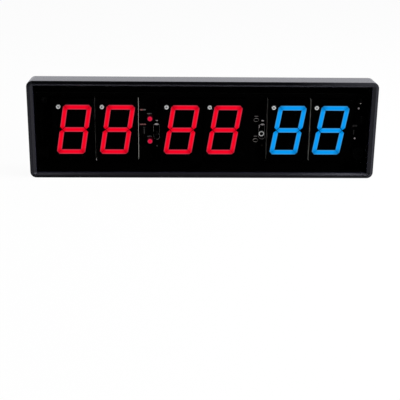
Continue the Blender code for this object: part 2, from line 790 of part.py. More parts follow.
def build_colon():
    for label, centre in light_places().items():
        foot = BOARD_FRONT - SEAT
        collar = foot - LIGHT_FLANGE_HEIGHT
        shoulder = foot - LIGHT_HEIGHT + LIGHT_RADIUS
        flange = LIGHT_RADIUS + LIGHT_FLANGE
        profile = [
            (0.0, depth(foot)),
            (flange, depth(foot)),
            (flange, depth(collar)),
            (LIGHT_RADIUS, depth(collar)),
        ]
        for i in range(LIGHT_DOME_STEPS):
            angle = (math.pi / 2) * i / LIGHT_DOME_STEPS
            profile.append((LIGHT_RADIUS * math.cos(angle), depth(shoulder) - LIGHT_RADIUS * math.sin(angle)))
        profile.append((0.0, depth(shoulder) - LIGHT_RADIUS))
        bm = bmesh.new()
        add_turned(bm, profile, (centre[0], 0.0, centre[1]), (0, 1, 0), ROUND_STEPS)
        place(f"colon_{label}_led", mesh_from(bm, f"colon_{label}_led"), "lens_red")
        for number, lead in enumerate(light_lead_places(centre), 1):
            name = f"colon_{label}_lead_{number}"
            peg = square_pegs([lead], LEG_WIDTH, depth(BOARD_FRONT), depth(BOARD_REAR + LEG_TAIL), name)
            place(name, peg, "tin")


def slot_places():
    """Middles of the board's two upright slots, one in each wide gap."""
    return [(bay + SLOT_OFFSET, SLOT_Z) for bay in COLON_BAYS]


def board_screw_places():
    """Two screws through the slots and one at each end, clear of the digits."""
    slots = [(x, z - SLOT_SCREW_DROP) for x, z in slot_places()]
    high = MODULE_TOP - POST_RADIUS
    return slots + [(-END_COLUMN, high), (END_COLUMN, high)]


def build_main_board():
    bm = bmesh.new()
    add_box(
        bm,
        (-BOARD_HALF_WIDTH, depth(BOARD_FRONT), BOARD_BOTTOM),
        (BOARD_HALF_WIDTH, depth(BOARD_REAR), BOARD_TOP),
    )
    board = place("main_board", mesh_from(bm, "main_board"), "board_dark")

    over = BOARD_THICKNESS
    front = depth(BOARD_FRONT - over)
    rear = depth(BOARD_REAR + over)
    pins = [
        (module_centre(i) + x, MODULE_MIDDLE + z) for i in range(len(DIGIT_COLOURS)) for x, z in pin_places()
    ]
    carve(board, square_pegs(pins, PIN_WIDTH + 2 * SEAT, front, rear, "pin_holes"))
    legs = [lead for centre in light_places().values() for lead in light_lead_places(centre)]
    legs += receiver_leg_places() + buzzer_leg_places()
    carve(board, square_pegs(legs, LEG_WIDTH + 2 * SEAT, front, rear, "leg_holes"))

    cuts = bmesh.new()
    for x, z in slot_places():
        reach = BOARD_SLOT_LENGTH / 2 - PILOT_RADIUS
        loops = []
        for y in (front, rear):
            loops.append(rounded_slot(x, z - reach, z + reach, PILOT_RADIUS, y))
        join_loops(cuts, loops)
    for x, z in board_screw_places()[len(COLON_BAYS):]:
        hole = cylinder_profile(PILOT_RADIUS, front, rear)
        add_turned(cuts, hole, (x, 0.0, z), (0, 1, 0), SMALL_ROUND_STEPS)
    carve(board, mesh_from(cuts, "board_cuts"))


def rounded_slot(x, bottom, top, radius, y, steps=SMALL_ROUND_STEPS // 2):
    """Points of an upright slot with round ends."""
    points = []
    for centre, start in ((top, 0.0), (bottom, math.pi)):
        for i in range(steps + 1):
            angle = start + math.pi * i / steps
            points.append((x + radius * math.cos(angle), y, centre + radius * math.sin(angle)))
    return points


def place_screws(name, places, seat_depth, length, facing):
    """Pan-head screws along Y, one object each; facing is +1 where the shank points to the rear."""
    head = SCREW_HEAD_HEIGHT
    profile = [
        (0.0, -head),
        (SCREW_HEAD_RADIUS * SCREW_HEAD_TOP, -head),
        (SCREW_HEAD_RADIUS, -head * SCREW_HEAD_SHOULDER),
        (SCREW_HEAD_RADIUS, 0.0),
        (SCREW_RADIUS, 0.0),
        (SCREW_RADIUS, length - SCREW_RADIUS),
        (SCREW_RADIUS * SCREW_TIP, length),
        (0.0, length),
    ]
    bm = bmesh.new()
    add_turned(bm, profile, (0.0, 0.0, 0.0), (0, facing, 0), SMALL_ROUND_STEPS)
    data = mesh_from(bm, name)
    for number, (x, z) in enumerate(places, 1):
        place(f"{name}_{number}", data, "zinc", (x, depth(seat_depth), z))


def build_board_screws():
    place_screws("board_screw", board_screw_places(), BOARD_FRONT - SEAT, BOARD_SCREW_LENGTH, 1)


def keyhole_places():
    """Middles of the two round entries; each slot runs up from its entry."""
    z = CASE_HEIGHT - KEYHOLE_DROP_FROM_TOP
    return [(-KEYHOLE_SPACING / 2, z), (KEYHOLE_SPACING / 2, z)]


def counterbore_floor():
    """Depth of the seats for the cover screws' heads, which lie just below the cover's rear face."""
    return CASE_DEPTH - SCREW_HEAD_HEIGHT - SEAT


def build_back_cover():
    inset = WALL + SEAT
    radius = max(CORNER_RADIUS - inset, RECESS_RADIUS)
    loops = [
        rounded_rectangle(CASE_HALF_WIDTH - inset, inset, CASE_HEIGHT - inset, radius, y)
        for y in (depth(COVER_FRONT), depth(CASE_DEPTH))
    ]
    bm = bmesh.new()
    join_loops(bm, loops)
    cover = place("back_cover", mesh_from(bm, "back_cover"), "case_black")

    # Posts that carry the board, each with a pilot hole for its screw
    posts = bmesh.new()
    for x, z in board_screw_places():
        solid = cylinder_profile(
            COVER_POST_RADIUS, depth(BOARD_REAR + SEAT), depth(COVER_FRONT + COVER_THICKNESS / 2)
        )
        add_turned(posts, solid, (x, 0.0, z), (0, 1, 0), ROUND_STEPS)
    carve(cover, mesh_from(posts, "cover_posts"), "UNION")

    over = COVER_THICKNESS
    holes = bmesh.new()
    pilot_end = BOARD_FRONT + BOARD_SCREW_LENGTH + SEAT
    for x, z in board_screw_places():
        pilot = cylinder_profile(PILOT_RADIUS, depth(BOARD_REAR - over), depth(pilot_end))
        add_turned(holes, pilot, (x, 0.0, z), (0, 1, 0), SMALL_ROUND_STEPS)
    seat = depth(counterbore_floor())
    for x, z in frame_post_places():
        profile = [
            (0.0, depth(COVER_FRONT - over)),
            (PILOT_RADIUS, depth(COVER_FRONT - over)),
            (PILOT_RADIUS, seat),
            (SCREW_HEAD_RADIUS + SEAT, seat),
            (SCREW_HEAD_RADIUS + SEAT, depth(CASE_DEPTH + over)),
            (0.0, depth(CASE_DEPTH + over)),
        ]
        add_turned(holes, profile, (x, 0.0, z), (0, 1, 0), ROUND_STEPS)
    for x, z in sound_hole_places():
        hole = cylinder_profile(SOUND_HOLE_RADIUS, depth(COVER_FRONT - over), depth(CASE_DEPTH + over))
        add_turned(holes, hole, (x, 0.0, z), (0, 1, 0), SMALL_ROUND_STEPS)
    carve(cover, mesh_from(holes, "cover_holes"))

    entries = bmesh.new()
    slots = bmesh.new()
    for x, z in keyhole_places():
        entry = cylinder_profile(KEYHOLE_ENTRY_RADIUS, depth(COVER_FRONT - over), depth(CASE_DEPTH + over))
        add_turned(entries, entry, (x, 0.0, z), (0, 1, 0), ROUND_STEPS)
        ends = [
            rounded_slot(x, z, z + KEYHOLE_TRAVEL, KEYHOLE_SLOT_RADIUS, depth(at))
            for at in (COVER_FRONT - over, CASE_DEPTH + over)
        ]
        join_loops(slots, ends)
    carve(cover, mesh_from(entries, "entries"))
    carve(cover, mesh_from(slots, "slots"))


def build_cover_screws():
    place_screws("cover_screw", frame_post_places(), counterbore_floor() + SEAT, COVER_SCREW_LENGTH, -1)


def jack_axis_depth():
    """The inlet's bore lies in the middle of its block, which stands on the board's front."""
    return BOARD_FRONT - SEAT - JACK_HEIGHT / 2


def build_power_jack():
    mouth = -INNER_HALF_WIDTH + SEAT
    bm = bmesh.new()
    y = depth(jack_axis_depth())
    add_box(
        bm,
        (mouth, y - JACK_HEIGHT / 2, JACK_Z - JACK_WIDTH / 2),
        (mouth + JACK_LENGTH, y + JACK_HEIGHT / 2, JACK_Z + JACK_WIDTH / 2),
    )
    jack = place("power_jack_body", mesh_from(bm, "power_jack_body"), "chip_black")
    bore = bmesh.new()
    profile = cylinder_profile(JACK_BORE_RADIUS, -WALL, JACK_BORE_DEPTH)
    add_turned(bore, profile, (mouth, y, JACK_Z), (1, 0, 0), ROUND_STEPS)
    carve(jack, mesh_from(bore, "jack_bore"))

    # The centre pin stands on the bore's floor and stops short of the mouth
    pin = bmesh.new()
    end = JACK_BORE_DEPTH - SEAT
    tip = JACK_PIN_RECESS
    profile = [
        (0.0, tip),
        (JACK_PIN_RADIUS - JACK_PIN_NOSE, tip),
        (JACK_PIN_RADIUS, tip + JACK_PIN_NOSE),
        (JACK_PIN_RADIUS, end),
        (0.0, end),
    ]
    add_turned(pin, profile, (mouth, y, JACK_Z), (1, 0, 0), SMALL_ROUND_STEPS)
    place("power_jack_pin", mesh_from(pin, "power_jack_pin"), "zinc")


def add_legs(part, places, start):
    """Joins the legs of a through-hole part to its body; they run from inside it through the board."""
    legs = square_pegs(places, LEG_WIDTH, depth(start), depth(BOARD_REAR + LEG_TAIL), "legs")
    carve(part, legs, "UNION")


def buzzer_leg_places():
    half = BUZZER_LEG_PITCH / 2
    return [(END_COLUMN, BUZZER_Z - half), (END_COLUMN, BUZZER_Z + half)]


def sound_hole_places():
    """A ring of holes round a middle one, behind the sounder."""
    ring = [2 * math.pi * i / SOUND_HOLE_COUNT for i in range(SOUND_HOLE_COUNT)]
    places = [(END_COLUMN, BUZZER_Z)]
    for angle in ring:
        x = END_COLUMN + SOUND_RING_RADIUS * math.cos(angle)
        places.append((x, BUZZER_Z + SOUND_RING_RADIUS * math.sin(angle)))
    return places


def build_buzzer():
    foot = BOARD_FRONT - SEAT
    top = foot - BUZZER_HEIGHT
    bm = bmesh.new()
    profile = [
        (0.0, depth(top + BUZZER_HOLE_RADIUS)),
        (BUZZER_HOLE_RADIUS, depth(top + BUZZER_HOLE_RADIUS)),
        (BUZZER_HOLE_RADIUS, depth(top)),
        (BUZZER_RADIUS - SEAT, depth(top)),
        (BUZZER_RADIUS, depth(top + SEAT)),
        (BUZZER_RADIUS, depth(foot)),
        (0.0, depth(foot)),
    ]
    add_turned(bm, profile, (END_COLUMN, 0.0, BUZZER_Z), (0, 1, 0), ROUND_STEPS)
    buzzer = place("buzzer", mesh_from(bm, "buzzer"), "chip_black")
    add_legs(buzzer, buzzer_leg_places(), foot - LEG_WIDTH)


def receiver_leg_places():
    return [(END_COLUMN + i * RECEIVER_LEG_PITCH, RECEIVER_Z) for i in (-1, 0, 1)]


def build_receiver():
    """Remote control receiver: a small block with a half-round lens towards the window, raised on three legs."""
    rear = BOARD_FRONT - RECEIVER_STAND
    front = rear - RECEIVER_DEPTH
    half = RECEIVER_WIDTH / 2
    bm = bmesh.new()
    outline = [(half, front), (half, rear), (-half, rear), (-half, front)]
    for i in range(SMALL_ROUND_STEPS + 1):
        angle = math.pi * i / SMALL_ROUND_STEPS
        bulge = (-RECEIVER_DOME_RADIUS * math.cos(angle), front - RECEIVER_DOME_RADIUS * math.sin(angle))
        outline.append(bulge)
    loops = []
    for z in (RECEIVER_Z - RECEIVER_HEIGHT / 2, RECEIVER_Z + RECEIVER_HEIGHT / 2):
        loops.append([(END_COLUMN + x, depth(at), z) for x, at in outline])
    join_loops(bm, loops)
    receiver = place("ir_receiver", mesh_from(bm, "ir_receiver"), "chip_black")
    add_legs(receiver, receiver_leg_places(), rear - LEG_WIDTH)


def build_chip(name, across, legs_per_side, x, z, upright=False):
    """Small-outline chip on the board's rear: a moulded body with gull-wing legs down both sides."""
    length = legs_per_side * CHIP_LEG_PITCH + CHIP_LEG_PITCH / 2
    foot = SEAT
    body_low = foot + CHIP_STANDOFF
    body_high = body_low + CHIP_THICKNESS
    waist = (body_low + body_high) / 2
    half = across / 2
    draft = CHIP_STANDOFF / 2
    bm = bmesh.new()
    loops = []
    for rise, shrink in ((body_low, draft), (waist, 0.0), (body_high, draft)):
        w = half - shrink
        h = length / 2 - shrink
        loops.append([(-w, rise, -h), (w, rise, -h), (w, rise, h), (-w, rise, h)])
    join_loops(bm, loops)
    chip = place(name, mesh_from(bm, name), "chip_black")

    knee = half + CHIP_LEG_KNEE
    toe = half + CHIP_LEG_REACH
    thick = CHIP_LEG_THICKNESS
    section = [
        (half - draft * 2, waist),
        (knee - thick / 2, waist),
        (knee, foot),
        (toe, foot),
        (toe, foot + thick),
        (knee + thick / 2, waist + thick),
        (half - draft * 2, waist + thick),
    ]
    legs = bmesh.new()
    for side in (1, -1):
        for i in range(legs_per_side):
            middle = (i - (legs_per_side - 1) / 2) * CHIP_LEG_PITCH
            ends = [
                [(side * u, rise, middle + s * CHIP_LEG_WIDTH / 2) for u, rise in section] for s in (-1, 1)
            ]
            join_loops(legs, ends)
    carve(chip, mesh_from(legs, "legs"), "UNION")
    chip.location = (x, depth(BOARD_REAR), z)
    if not upright:
        chip.rotation_euler = (0.0, math.pi / 2, 0.0)


def build_chips():
    build_chip("controller_chip", WIDE_CHIP, 10, module_centre(2), MODULE_MIDDLE)
    build_chip("driver_chip_left", WIDE_CHIP, 8, module_centre(1), MODULE_MIDDLE)
    build_chip("driver_chip_right", WIDE_CHIP, 8, module_centre(4), MODULE_MIDDLE)
    build_chip("clock_chip", NARROW_CHIP, 4, module_centre(3), MODULE_MIDDLE + WIDE_CHIP, upright=True)


def place_block(name, x, z, size, finish):
    """Plain moulded part on the board's rear, with its upper edges taken off."""
    width, height, length = size
    edge = height * BLOCK_EDGE
    bm = bmesh.new()
    loops = []
    for rise, shrink in ((0.0, 0.0), (height - edge, 0.0), (height, edge)):
        w = width / 2 - shrink
        h = length / 2 - shrink
        loops.append([(-w, rise, -h), (w, rise, -h), (w, rise, h), (-w, rise, h)])
    join_loops(bm, loops)
    place(name, mesh_from(bm, name), finish, (x, depth(BOARD_REAR + SEAT), z))


def build_small_parts():
    supply = module_centre(0)
    for number, side in enumerate((-1, 1), 1):
        place_block(
            f"filter_capacitor_{number}",
            supply + side * CAPACITOR_SIZE[0],
            MODULE_MIDDLE - CAPACITOR_SIZE[2],
            CAPACITOR_SIZE,
            "brown_block",
        )
    place_block("voltage_regulator", supply, MODULE_MIDDLE + REGULATOR_SIZE[2], REGULATOR_SIZE, "chip_black")
    for number, index in enumerate((1, 4), 1):
        place_block(
            f"resistor_pack_{number}",
            module_centre(index),
            MODULE_MIDDLE - WIDE_CHIP - CHIP_LEG_REACH - RESISTOR_PACK_SIZE[2],
            RESISTOR_PACK_SIZE,
            "ceramic",
        )
    crystal = bmesh.new()
    centre = (
        module_centre(3) - WIDE_CHIP,
        depth(BOARD_REAR + SEAT + CRYSTAL_RADIUS),
        MODULE_MIDDLE + WIDE_CHIP,
    )
    profile = cylinder_profile(CRYSTAL_RADIUS, -CRYSTAL_LENGTH / 2, CRYSTAL_LENGTH / 2)
    add_turned(crystal, profile, centre, (0, 0, 1), SMALL_ROUND_STEPS)
    place("clock_crystal", mesh_from(crystal, "clock_crystal"), "tin")


def build_backup_cell():
    """Round cell in an open cup on the board's rear; short hooks between wide gaps hold its rim."""
    centre = (module_centre(3), 0.0, MODULE_MIDDLE - CELL_RADIUS - HOLDER_WALL)
    base = BOARD_REAR + SEAT
    floor = base + HOLDER_FLOOR
    cell_low = floor + SEAT
    cell_high = cell_low + CELL_THICKNESS
    hook_low = cell_high + SEAT
    rim = hook_low + HOLDER_LIP_THICKNESS
    inner = CELL_RADIUS + SEAT
    outer = inner + HOLDER_WALL
    bm = bmesh.new()
    profile = [
        (0.0, depth(floor)),
        (inner, depth(floor)),
        (inner, depth(hook_low)),
        (inner - HOLDER_LIP_REACH, depth(hook_low)),
        (inner - HOLDER_LIP_REACH, depth(rim)),
        (outer, depth(rim)),
        (outer, depth(base)),
        (0.0, depth(base)),
    ]
    add_turned(bm, profile, centre, (0, 1, 0), ROUND_STEPS)
    holder = place("cell_holder", mesh_from(bm, "cell_holder"), "chip_black")
    gaps = bmesh.new()
    width = HOLDER_GAP_HALF_WIDTH
    start = HOLDER_GAP_START
    reach = outer + HOLDER_WALL
    corners = [(-width, start), (width, start), (width, reach), (-width, reach)]
    for turn in range(HOLDER_HOOKS):
        angle = 2 * math.pi * turn / HOLDER_HOOKS
        loops = []
        for at in (floor + SEAT, rim + HOLDER_LIP_REACH):
            ring = []
            for u, v in corners:
                x = u * math.cos(angle) - v * math.sin(angle)
                z = u * math.sin(angle) + v * math.cos(angle)
                ring.append((centre[0] + x, depth(at), centre[2] + z))
            loops.append(ring)
        join_loops(gaps, loops)
    carve(holder, mesh_from(gaps, "gaps"))

    cell = bmesh.new()
    profile = [
        (0.0, depth(cell_low)),
        (CELL_RADIUS - CELL_EDGE, depth(cell_low)),
        (CELL_RADIUS, depth(cell_low + CELL_EDGE)),
        (CELL_RADIUS, depth(cell_high)),
        (0.0, depth(cell_high)),
    ]
    add_turned(cell, profile, centre, (0, 1, 0), ROUND_STEPS)
    place("backup_cell", mesh_from(cell, "backup_cell"), "zinc")


def main():
    clear_scene()
    build_front_frame()
    build_window()
    build_digits()
    build_colon()
    build_main_board()
    build_board_screws()
    build_back_cover()
    build_cover_screws()
    build_power_jack()
    build_buzzer()
    build_receiver()
    build_chips()
    build_small_parts()
    build_backup_cell()


main()
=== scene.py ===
import math

import bmesh
import bpy
from mathutils import Matrix, Vector


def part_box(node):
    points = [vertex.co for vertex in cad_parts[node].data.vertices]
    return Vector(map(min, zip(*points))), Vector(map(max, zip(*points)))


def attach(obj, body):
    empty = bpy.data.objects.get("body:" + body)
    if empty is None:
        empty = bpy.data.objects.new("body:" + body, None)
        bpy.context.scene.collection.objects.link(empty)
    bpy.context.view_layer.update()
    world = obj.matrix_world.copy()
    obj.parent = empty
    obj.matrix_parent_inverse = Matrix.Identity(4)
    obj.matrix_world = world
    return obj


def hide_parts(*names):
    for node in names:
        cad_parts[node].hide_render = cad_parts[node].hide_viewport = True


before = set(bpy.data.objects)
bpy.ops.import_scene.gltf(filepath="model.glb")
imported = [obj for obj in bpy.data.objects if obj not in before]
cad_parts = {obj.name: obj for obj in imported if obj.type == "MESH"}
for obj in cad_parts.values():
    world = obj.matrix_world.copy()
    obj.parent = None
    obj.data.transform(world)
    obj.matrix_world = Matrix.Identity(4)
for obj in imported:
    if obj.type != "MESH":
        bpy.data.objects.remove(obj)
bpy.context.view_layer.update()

# Digits: where each module stands, and the figure on its face
MODULE_XS = (-0.11685, -0.07775, -0.01955, 0.01955, 0.07775, 0.11685)
MODULE_LIGHT = ("red", "red", "red", "red", "blue", "blue")
MODULE_Z = 0.0440
FACE_Y = -0.0058
DIGIT_HEIGHT = 0.04572
DIGIT_WIDTH = 0.0259
DIGIT_SLOPE = 0.166
BAR_WIDTH = 0.00435
SHARP_CUT = 0.0027
BLUNT_CUT = 0.0019
SEAM_HALF_WIDTH = 0.00004
NOTCH_HALF_WIDTH = 0.00023

# The same figure before it is leant, and how near to a line a point counts as on it
HALF_WIDTH = DIGIT_WIDTH / 2
HALF_HEIGHT = DIGIT_HEIGHT / 2
NODE_X = HALF_WIDTH - BAR_WIDTH / 2
UPRIGHT_RISE = (HALF_HEIGHT - BAR_WIDTH / 2) / 2
DIAGONAL = math.sqrt(0.5)
TOUCH = 1e-7

# Bars: steps from a dim foot to a lit core, each an inset, a squeeze across the bar, a rise and a glow
SKIRT_GLOW, EDGE_GLOW, BODY_GLOW, CORE_GLOW = 0.0, 0.4, 0.75, 1.0
BAR_STEPS = (
    (0.00002, 1.0, -0.0009, SKIRT_GLOW),
    (0.00002, 1.0, 0.00002, SKIRT_GLOW),
    (0.00016, 1.0, 0.00006, EDGE_GLOW),
    (0.0009, 1.0, 0.00011, BODY_GLOW),
    (0.0009, 0.45, 0.00014, CORE_GLOW),
)

# The light of a bar is even along its middle and falls off towards the next bar
FADE_LENGTH = 0.0040
FADE_DEPTH = 0.40

# Decimal point: a disc with a rounded rim and a dimple
POINT_X = -0.01368
POINT_RISE = 0.02086
POINT_RADIUS = 0.00205
POINT_DEPTH = 0.0020
POINT_RIM = 0.0003
RIM_CUT = 0.3
DIMPLE_RADIUS = 0.0010
DIMPLE_FLOOR_RADIUS = 0.0008
DIMPLE_EDGE_DEPTH = 0.0002
DIMPLE_DEPTH = 0.0003

# Colon lights: the lit part is a cap of the dome that leans up a little and fades towards its edge
DOME_RADIUS = 0.0025
DOME_STEPS = 8
DOME_LEAN = math.radians(17)
DOME_START = 0.5
DOME_RISE = 2.6
DOME_MARGIN = 0.0001
FLANGE_DEPTH = 0.0010

# Screws: a head's curve is given in shares of its radius and height
SCREW_RADIUS = 0.0013
TIP_SHARE = 0.35
HEAD_RADIUS = 0.0026
HEAD_HEIGHT = 0.0011
HEAD_CURVE = ((1.0, 1.0), (1.0, 0.45), (0.94, 0.16), (0.84, 0.0))

# The cross that is pressed into each head
DISH_RADIUS = 0.0017
DISH_DEPTH = 0.00012
CROSS_REACH = 0.0015
CROSS_HALF_WIDTH = 0.00045
CROSS_DEPTH = 0.0008
CROSS_FLOOR_SHARE = 0.55

# How many screws there are, which of the board's takes painted light, and the steps round one head's rim that
# carry a painted glint
COVER_SCREWS = 6
BOARD_SCREWS = 4
LIT_SCREW = 2
GLINT_SCREW = 4
GLINT_STEPS = range(36, 40)

# Places of a screw's finishes in its list: plating, recess, and a painted glint
PLAIN, RECESS, PAINTED_GLINT = 0, 1, 2

# Board and what is printed on it
BOARD_FRONT = 0.0040
INK_HEIGHT = 0.00005
LINE = 0.00034
THIN_LINE = 0.6 * LINE
CRESCENT_TIP = 0.35

# Facets
ROUND_STEPS = 40
SCREW_STEPS = 48
OVAL_STEPS = 32
ARC_STEPS = 12
DOT_STEPS = 16
SHARP_ANGLE = math.radians(32)

# Grain of the finishes: that of the gloss is coarser
GRAIN_DETAIL = 3.0
GRAIN_DEPTH = 0.00004
GLOSS_COARSENESS = 3

# Case plastic: tint of its gloss, and the bluish film it shows at low angles
CASE_TINT = (0.33, 0.325, 0.40)
FILM_WEIGHT = 0.12
FILM_ROUGHNESS = 0.3
FILM_TINT = (0.45, 0.45, 1.0, 1.0)

# Window sheet
PANE_TONE = 0.97
PANE_RIPPLE = 60.0
PANE_ROUGHNESS = (0.02, 0.05)
MIRROR_BLEND = 0.5
MIRROR_POWER = 5.0

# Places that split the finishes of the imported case
WINDOW_REAR = -0.0070
INNER_X = 0.1559
INNER_Z = (0.0016, 0.0879)
CASE_HALF_WIDTH = 0.1575
CASE_HALF_HEIGHT = 0.04475
CORNER_RADIUS = 0.0055
EDGE_WIDTH = 0.0009
RIM_BACK = -0.0108
TOP_RIM_Z = 0.0869
TOP_RIM_REACH = 0.1500
TOP_BEVEL_Z = 0.0840
COVER_REAR = 0.0115

# At the right end the flat rim carries a painted highlight, and the bevel and the outermost edge painted
# shade
RIGHT_END_X = 0.1515
BEVEL_LEAN = -0.3
RIM_FACING = -0.9
END_FACING = 0.18

# The rim's outer edge carries painted shade, which pales towards the right end into a painted highlight
HIGHLIGHT_FROM = 0.082
HIGHLIGHT_TONE = (44, 44, 48)

# How much of a face's normal has to lie along an axis for the face to count as facing that way
FACING = 0.5
SIDE_FACING = 0.7

# Finish of each module's left and right side, the shell, lit and shaded copies of it or black, as painted
# light and shade on the sides seen in the gaps, and how far in a face still counts as one of its sides
SIDE_FINISH = (
    ("module_shade", "module_half_shade"), ("module_shade", "module"), ("module_shade", "paint_and_shade"),
    ("paint_and_shade", "module_shade"), ("module_shade", "module_shade"), ("module_lit", "module_shade"),
)
SIDE_DEPTH = 0.0003

# Finish of a imported part, by the first of these words that its name holds; the inside finish is near-black
# with painted shade
FINISH_BY_WORD = (
    ("back_cover", "cover"), ("window", "window"), ("power_jack_body", "inside"), ("buzzer", "inside"),
    ("ir_receiver", "inside"), ("_carrier", "carrier"), ("_lead_", "tin"), ("_screw", "zinc"),
    ("main_board", "board_rear"), ("resistor", "ceramic"), ("capacitor", "brown"), ("jack_pin", "tin"),
    ("backup_cell", "zinc"), ("crystal", "tin"),
)
OTHER_FINISH = "chip"

# Colours that need no shade
WHITE = (1.0, 1.0, 1.0, 1.0)
BLACK = (0.0, 0.0, 0.0, 1.0)

# Surround and floor
SURROUND_TINT = (0.96, 0.98, 1.0, 1.0)
SURROUND_STRENGTH = 0.25
FLOOR_SIZE = 12.0
FLOOR_TONE = (0.85, 0.85, 0.85, 1.0)
FLOOR_ROUGHNESS = 0.9
FLOOR_GLOW = 0.95

# Dark cards: name, half width, and the place of the first and the last edge from front to back and upwards
CARD_REACH = 3.0
CARD_FRONT = -1.6
CARD_HIGH = 2.4
FOOT_Z = 0.0004
CARDS = (
    ("front_card", CARD_REACH, (CARD_FRONT, 0.02), (CARD_FRONT, CARD_HIGH)),
    # The foot card is a painted shadow: reflections see it where the object's own shadow lies on the floor
    ("foot_shadow_card", 0.17, (-0.0160, FOOT_Z), (0.012, FOOT_Z)),
    ("floor_card", CARD_REACH, (CARD_FRONT, FOOT_Z), (-0.45, FOOT_Z)),
    ("top_card", CARD_REACH, (CARD_FRONT, CARD_HIGH), (0.3, CARD_HIGH)),
)

# Lamps: name, place, what it points at, size, watts, and whether it lights plain surfaces too
LAMPS = (
    ("right_softbox", (0.75, -0.15, 1.3), (0.1, 0.0, 0.045), (0.6, 0.8), 18.0, True),
    ("left_softbox", (-0.75, -0.15, 1.3), (-0.1, 0.0, 0.045), (0.6, 0.8), 12.0, False),
    ("key", (1.3, -1.1, 0.55), (0.0, 0.0, 0.045), (0.6, 0.6), 24.0, True),
)

# Camera
CAMERA_PLACE = (-0.0300, -0.7988, 0.2448)
CAMERA_YAW = math.radians(-2.03)
CAMERA_PITCH = math.radians(-18.669)
CAMERA_ROLL = math.radians(-0.727)
SENSOR = 36.0
FOCAL_IN_PIXELS = 895.8
PICTURE_PIXELS = 400


def linear(colour):
    """A screen colour of 0 to 255 as linear light, with full opacity."""
    shares = [c / 255 for c in colour]
    return tuple(s / 12.92 if s <= 0.04045 else ((s + 0.055) / 1.055) ** 2.4 for s in shares) + (1.0,)


# Materials


def add_node(tree, kind, **values):
    """A new node with some of its sockets set by name."""
    node = tree.nodes.new(kind)
    for name, value in values.items():
        node.inputs[name.replace("_", " ")].default_value = value
    return node


def new_material(name):
    """An empty shaded material, its node tree and its shader."""
    made = bpy.data.materials.new(name)
    made.use_nodes = True
    return made, made.node_tree, made.node_tree.nodes["Principled BSDF"]


def grain(tree, scale):
    """A fine noise over the piece's own coordinates."""
    place = tree.nodes.new("ShaderNodeTexCoord")
    noise = add_node(tree, "ShaderNodeTexNoise", Scale=scale, Detail=GRAIN_DETAIL)
    tree.links.new(place.outputs["Object"], noise.inputs["Vector"])
    return noise.outputs["Fac"]


def between(tree, share, low, high):
    """Spreads a 0 to 1 value over low to high."""
    spread = add_node(tree, "ShaderNodeMapRange", To_Min=low, To_Max=high)
    tree.links.new(share, spread.inputs["Value"])
    return spread.outputs["Result"]


def blend_colours(tree, share, first, second):
    """A colour that goes from first to second with share. Either may be a socket."""
    mix = tree.nodes.new("ShaderNodeMix")
    mix.data_type = "RGBA"
    tree.links.new(share, mix.inputs["Factor"])
    for socket, colour in ((mix.inputs[6], first), (mix.inputs[7], second)):
        if isinstance(colour, bpy.types.NodeSocket):
            tree.links.new(colour, socket)
        else:
            socket.default_value = colour
    return mix.outputs[2]


def blend_shaders(tree, share, first, second, output):
    """Sends first, second or a blend of them to the output, by share."""
    mix = tree.nodes.new("ShaderNodeMixShader")
    tree.links.new(share, mix.inputs["Fac"])
    tree.links.new(first, mix.inputs[1])
    tree.links.new(second, mix.inputs[2])
    tree.links.new(mix.outputs["Shader"], tree.nodes[output].inputs["Surface"])


def surface(name, dark, light, roughness, scale=900.0, bump=0.1, metallic=0.0, tint=None, gloss=0.5):
    """A moulded, cast or plated finish whose tone, gloss and relief vary with a fine grain.

    Tint, that of the gloss, is one level for all colours or a level for each.
    """
    made, tree, shader = new_material(name)
    shader.inputs["Metallic"].default_value = metallic
    shader.inputs["Specular IOR Level"].default_value = gloss
    if tint is not None:
        levels = tint if isinstance(tint, tuple) else (tint, tint, tint)
        shader.inputs["Specular Tint"].default_value = (*levels, 1.0)
    fine = grain(tree, scale)
    tree.links.new(blend_colours(tree, fine, linear(dark), linear(light)), shader.inputs["Base Color"])
    coarse = grain(tree, scale / GLOSS_COARSENESS)
    tree.links.new(between(tree, coarse, *roughness), shader.inputs["Roughness"])
    relief = add_node(tree, "ShaderNodeBump", Strength=bump, Distance=GRAIN_DEPTH)
    tree.links.new(fine, relief.inputs["Height"])
    tree.links.new(relief.outputs["Normal"], shader.inputs["Normal"])
    return made


def lamp_resin(name, core, body, edge, skirt, strength):
    """Milky resin lit from behind.

    The glow attribute runs from the dim skirt over edge and body to the core, and power scales it.
    """
    made = surface(name, skirt, skirt, (0.3, 0.45), 700.0, 0.08, tint=0.02)
    tree = made.node_tree
    shader = tree.nodes["Principled BSDF"]
    glow = tree.nodes.new("ShaderNodeAttribute")
    glow.attribute_name = "glow"
    ramp = tree.nodes.new("ShaderNodeValToRGB")
    ramp.color_ramp.elements[0].color = linear(skirt)
    ramp.color_ramp.elements[1].color = linear(core)
    for level, colour in ((EDGE_GLOW, edge), (BODY_GLOW, body)):
        ramp.color_ramp.elements.new(level).color = linear(colour)
    tree.links.new(glow.outputs["Fac"], ramp.inputs["Fac"])
    power = tree.nodes.new("ShaderNodeAttribute")
    power.attribute_name = "power"
    lit = blend_colours(tree, power.outputs["Fac"], BLACK, ramp.outputs["Color"])
    tree.links.new(lit, shader.inputs["Emission Color"])
    shader.inputs["Emission Strength"].default_value = strength
    return made


def case_plastic(name, dark, light):
    """The case's satin plastic."""
    made = surface(name, dark, light, (0.2, 0.26), 1400.0, 0.06, tint=CASE_TINT)
    shader = made.node_tree.nodes["Principled BSDF"]
    shader.inputs["Sheen Weight"].default_value = FILM_WEIGHT
    shader.inputs["Sheen Roughness"].default_value = FILM_ROUGHNESS
    shader.inputs["Sheen Tint"].default_value = FILM_TINT
    return made


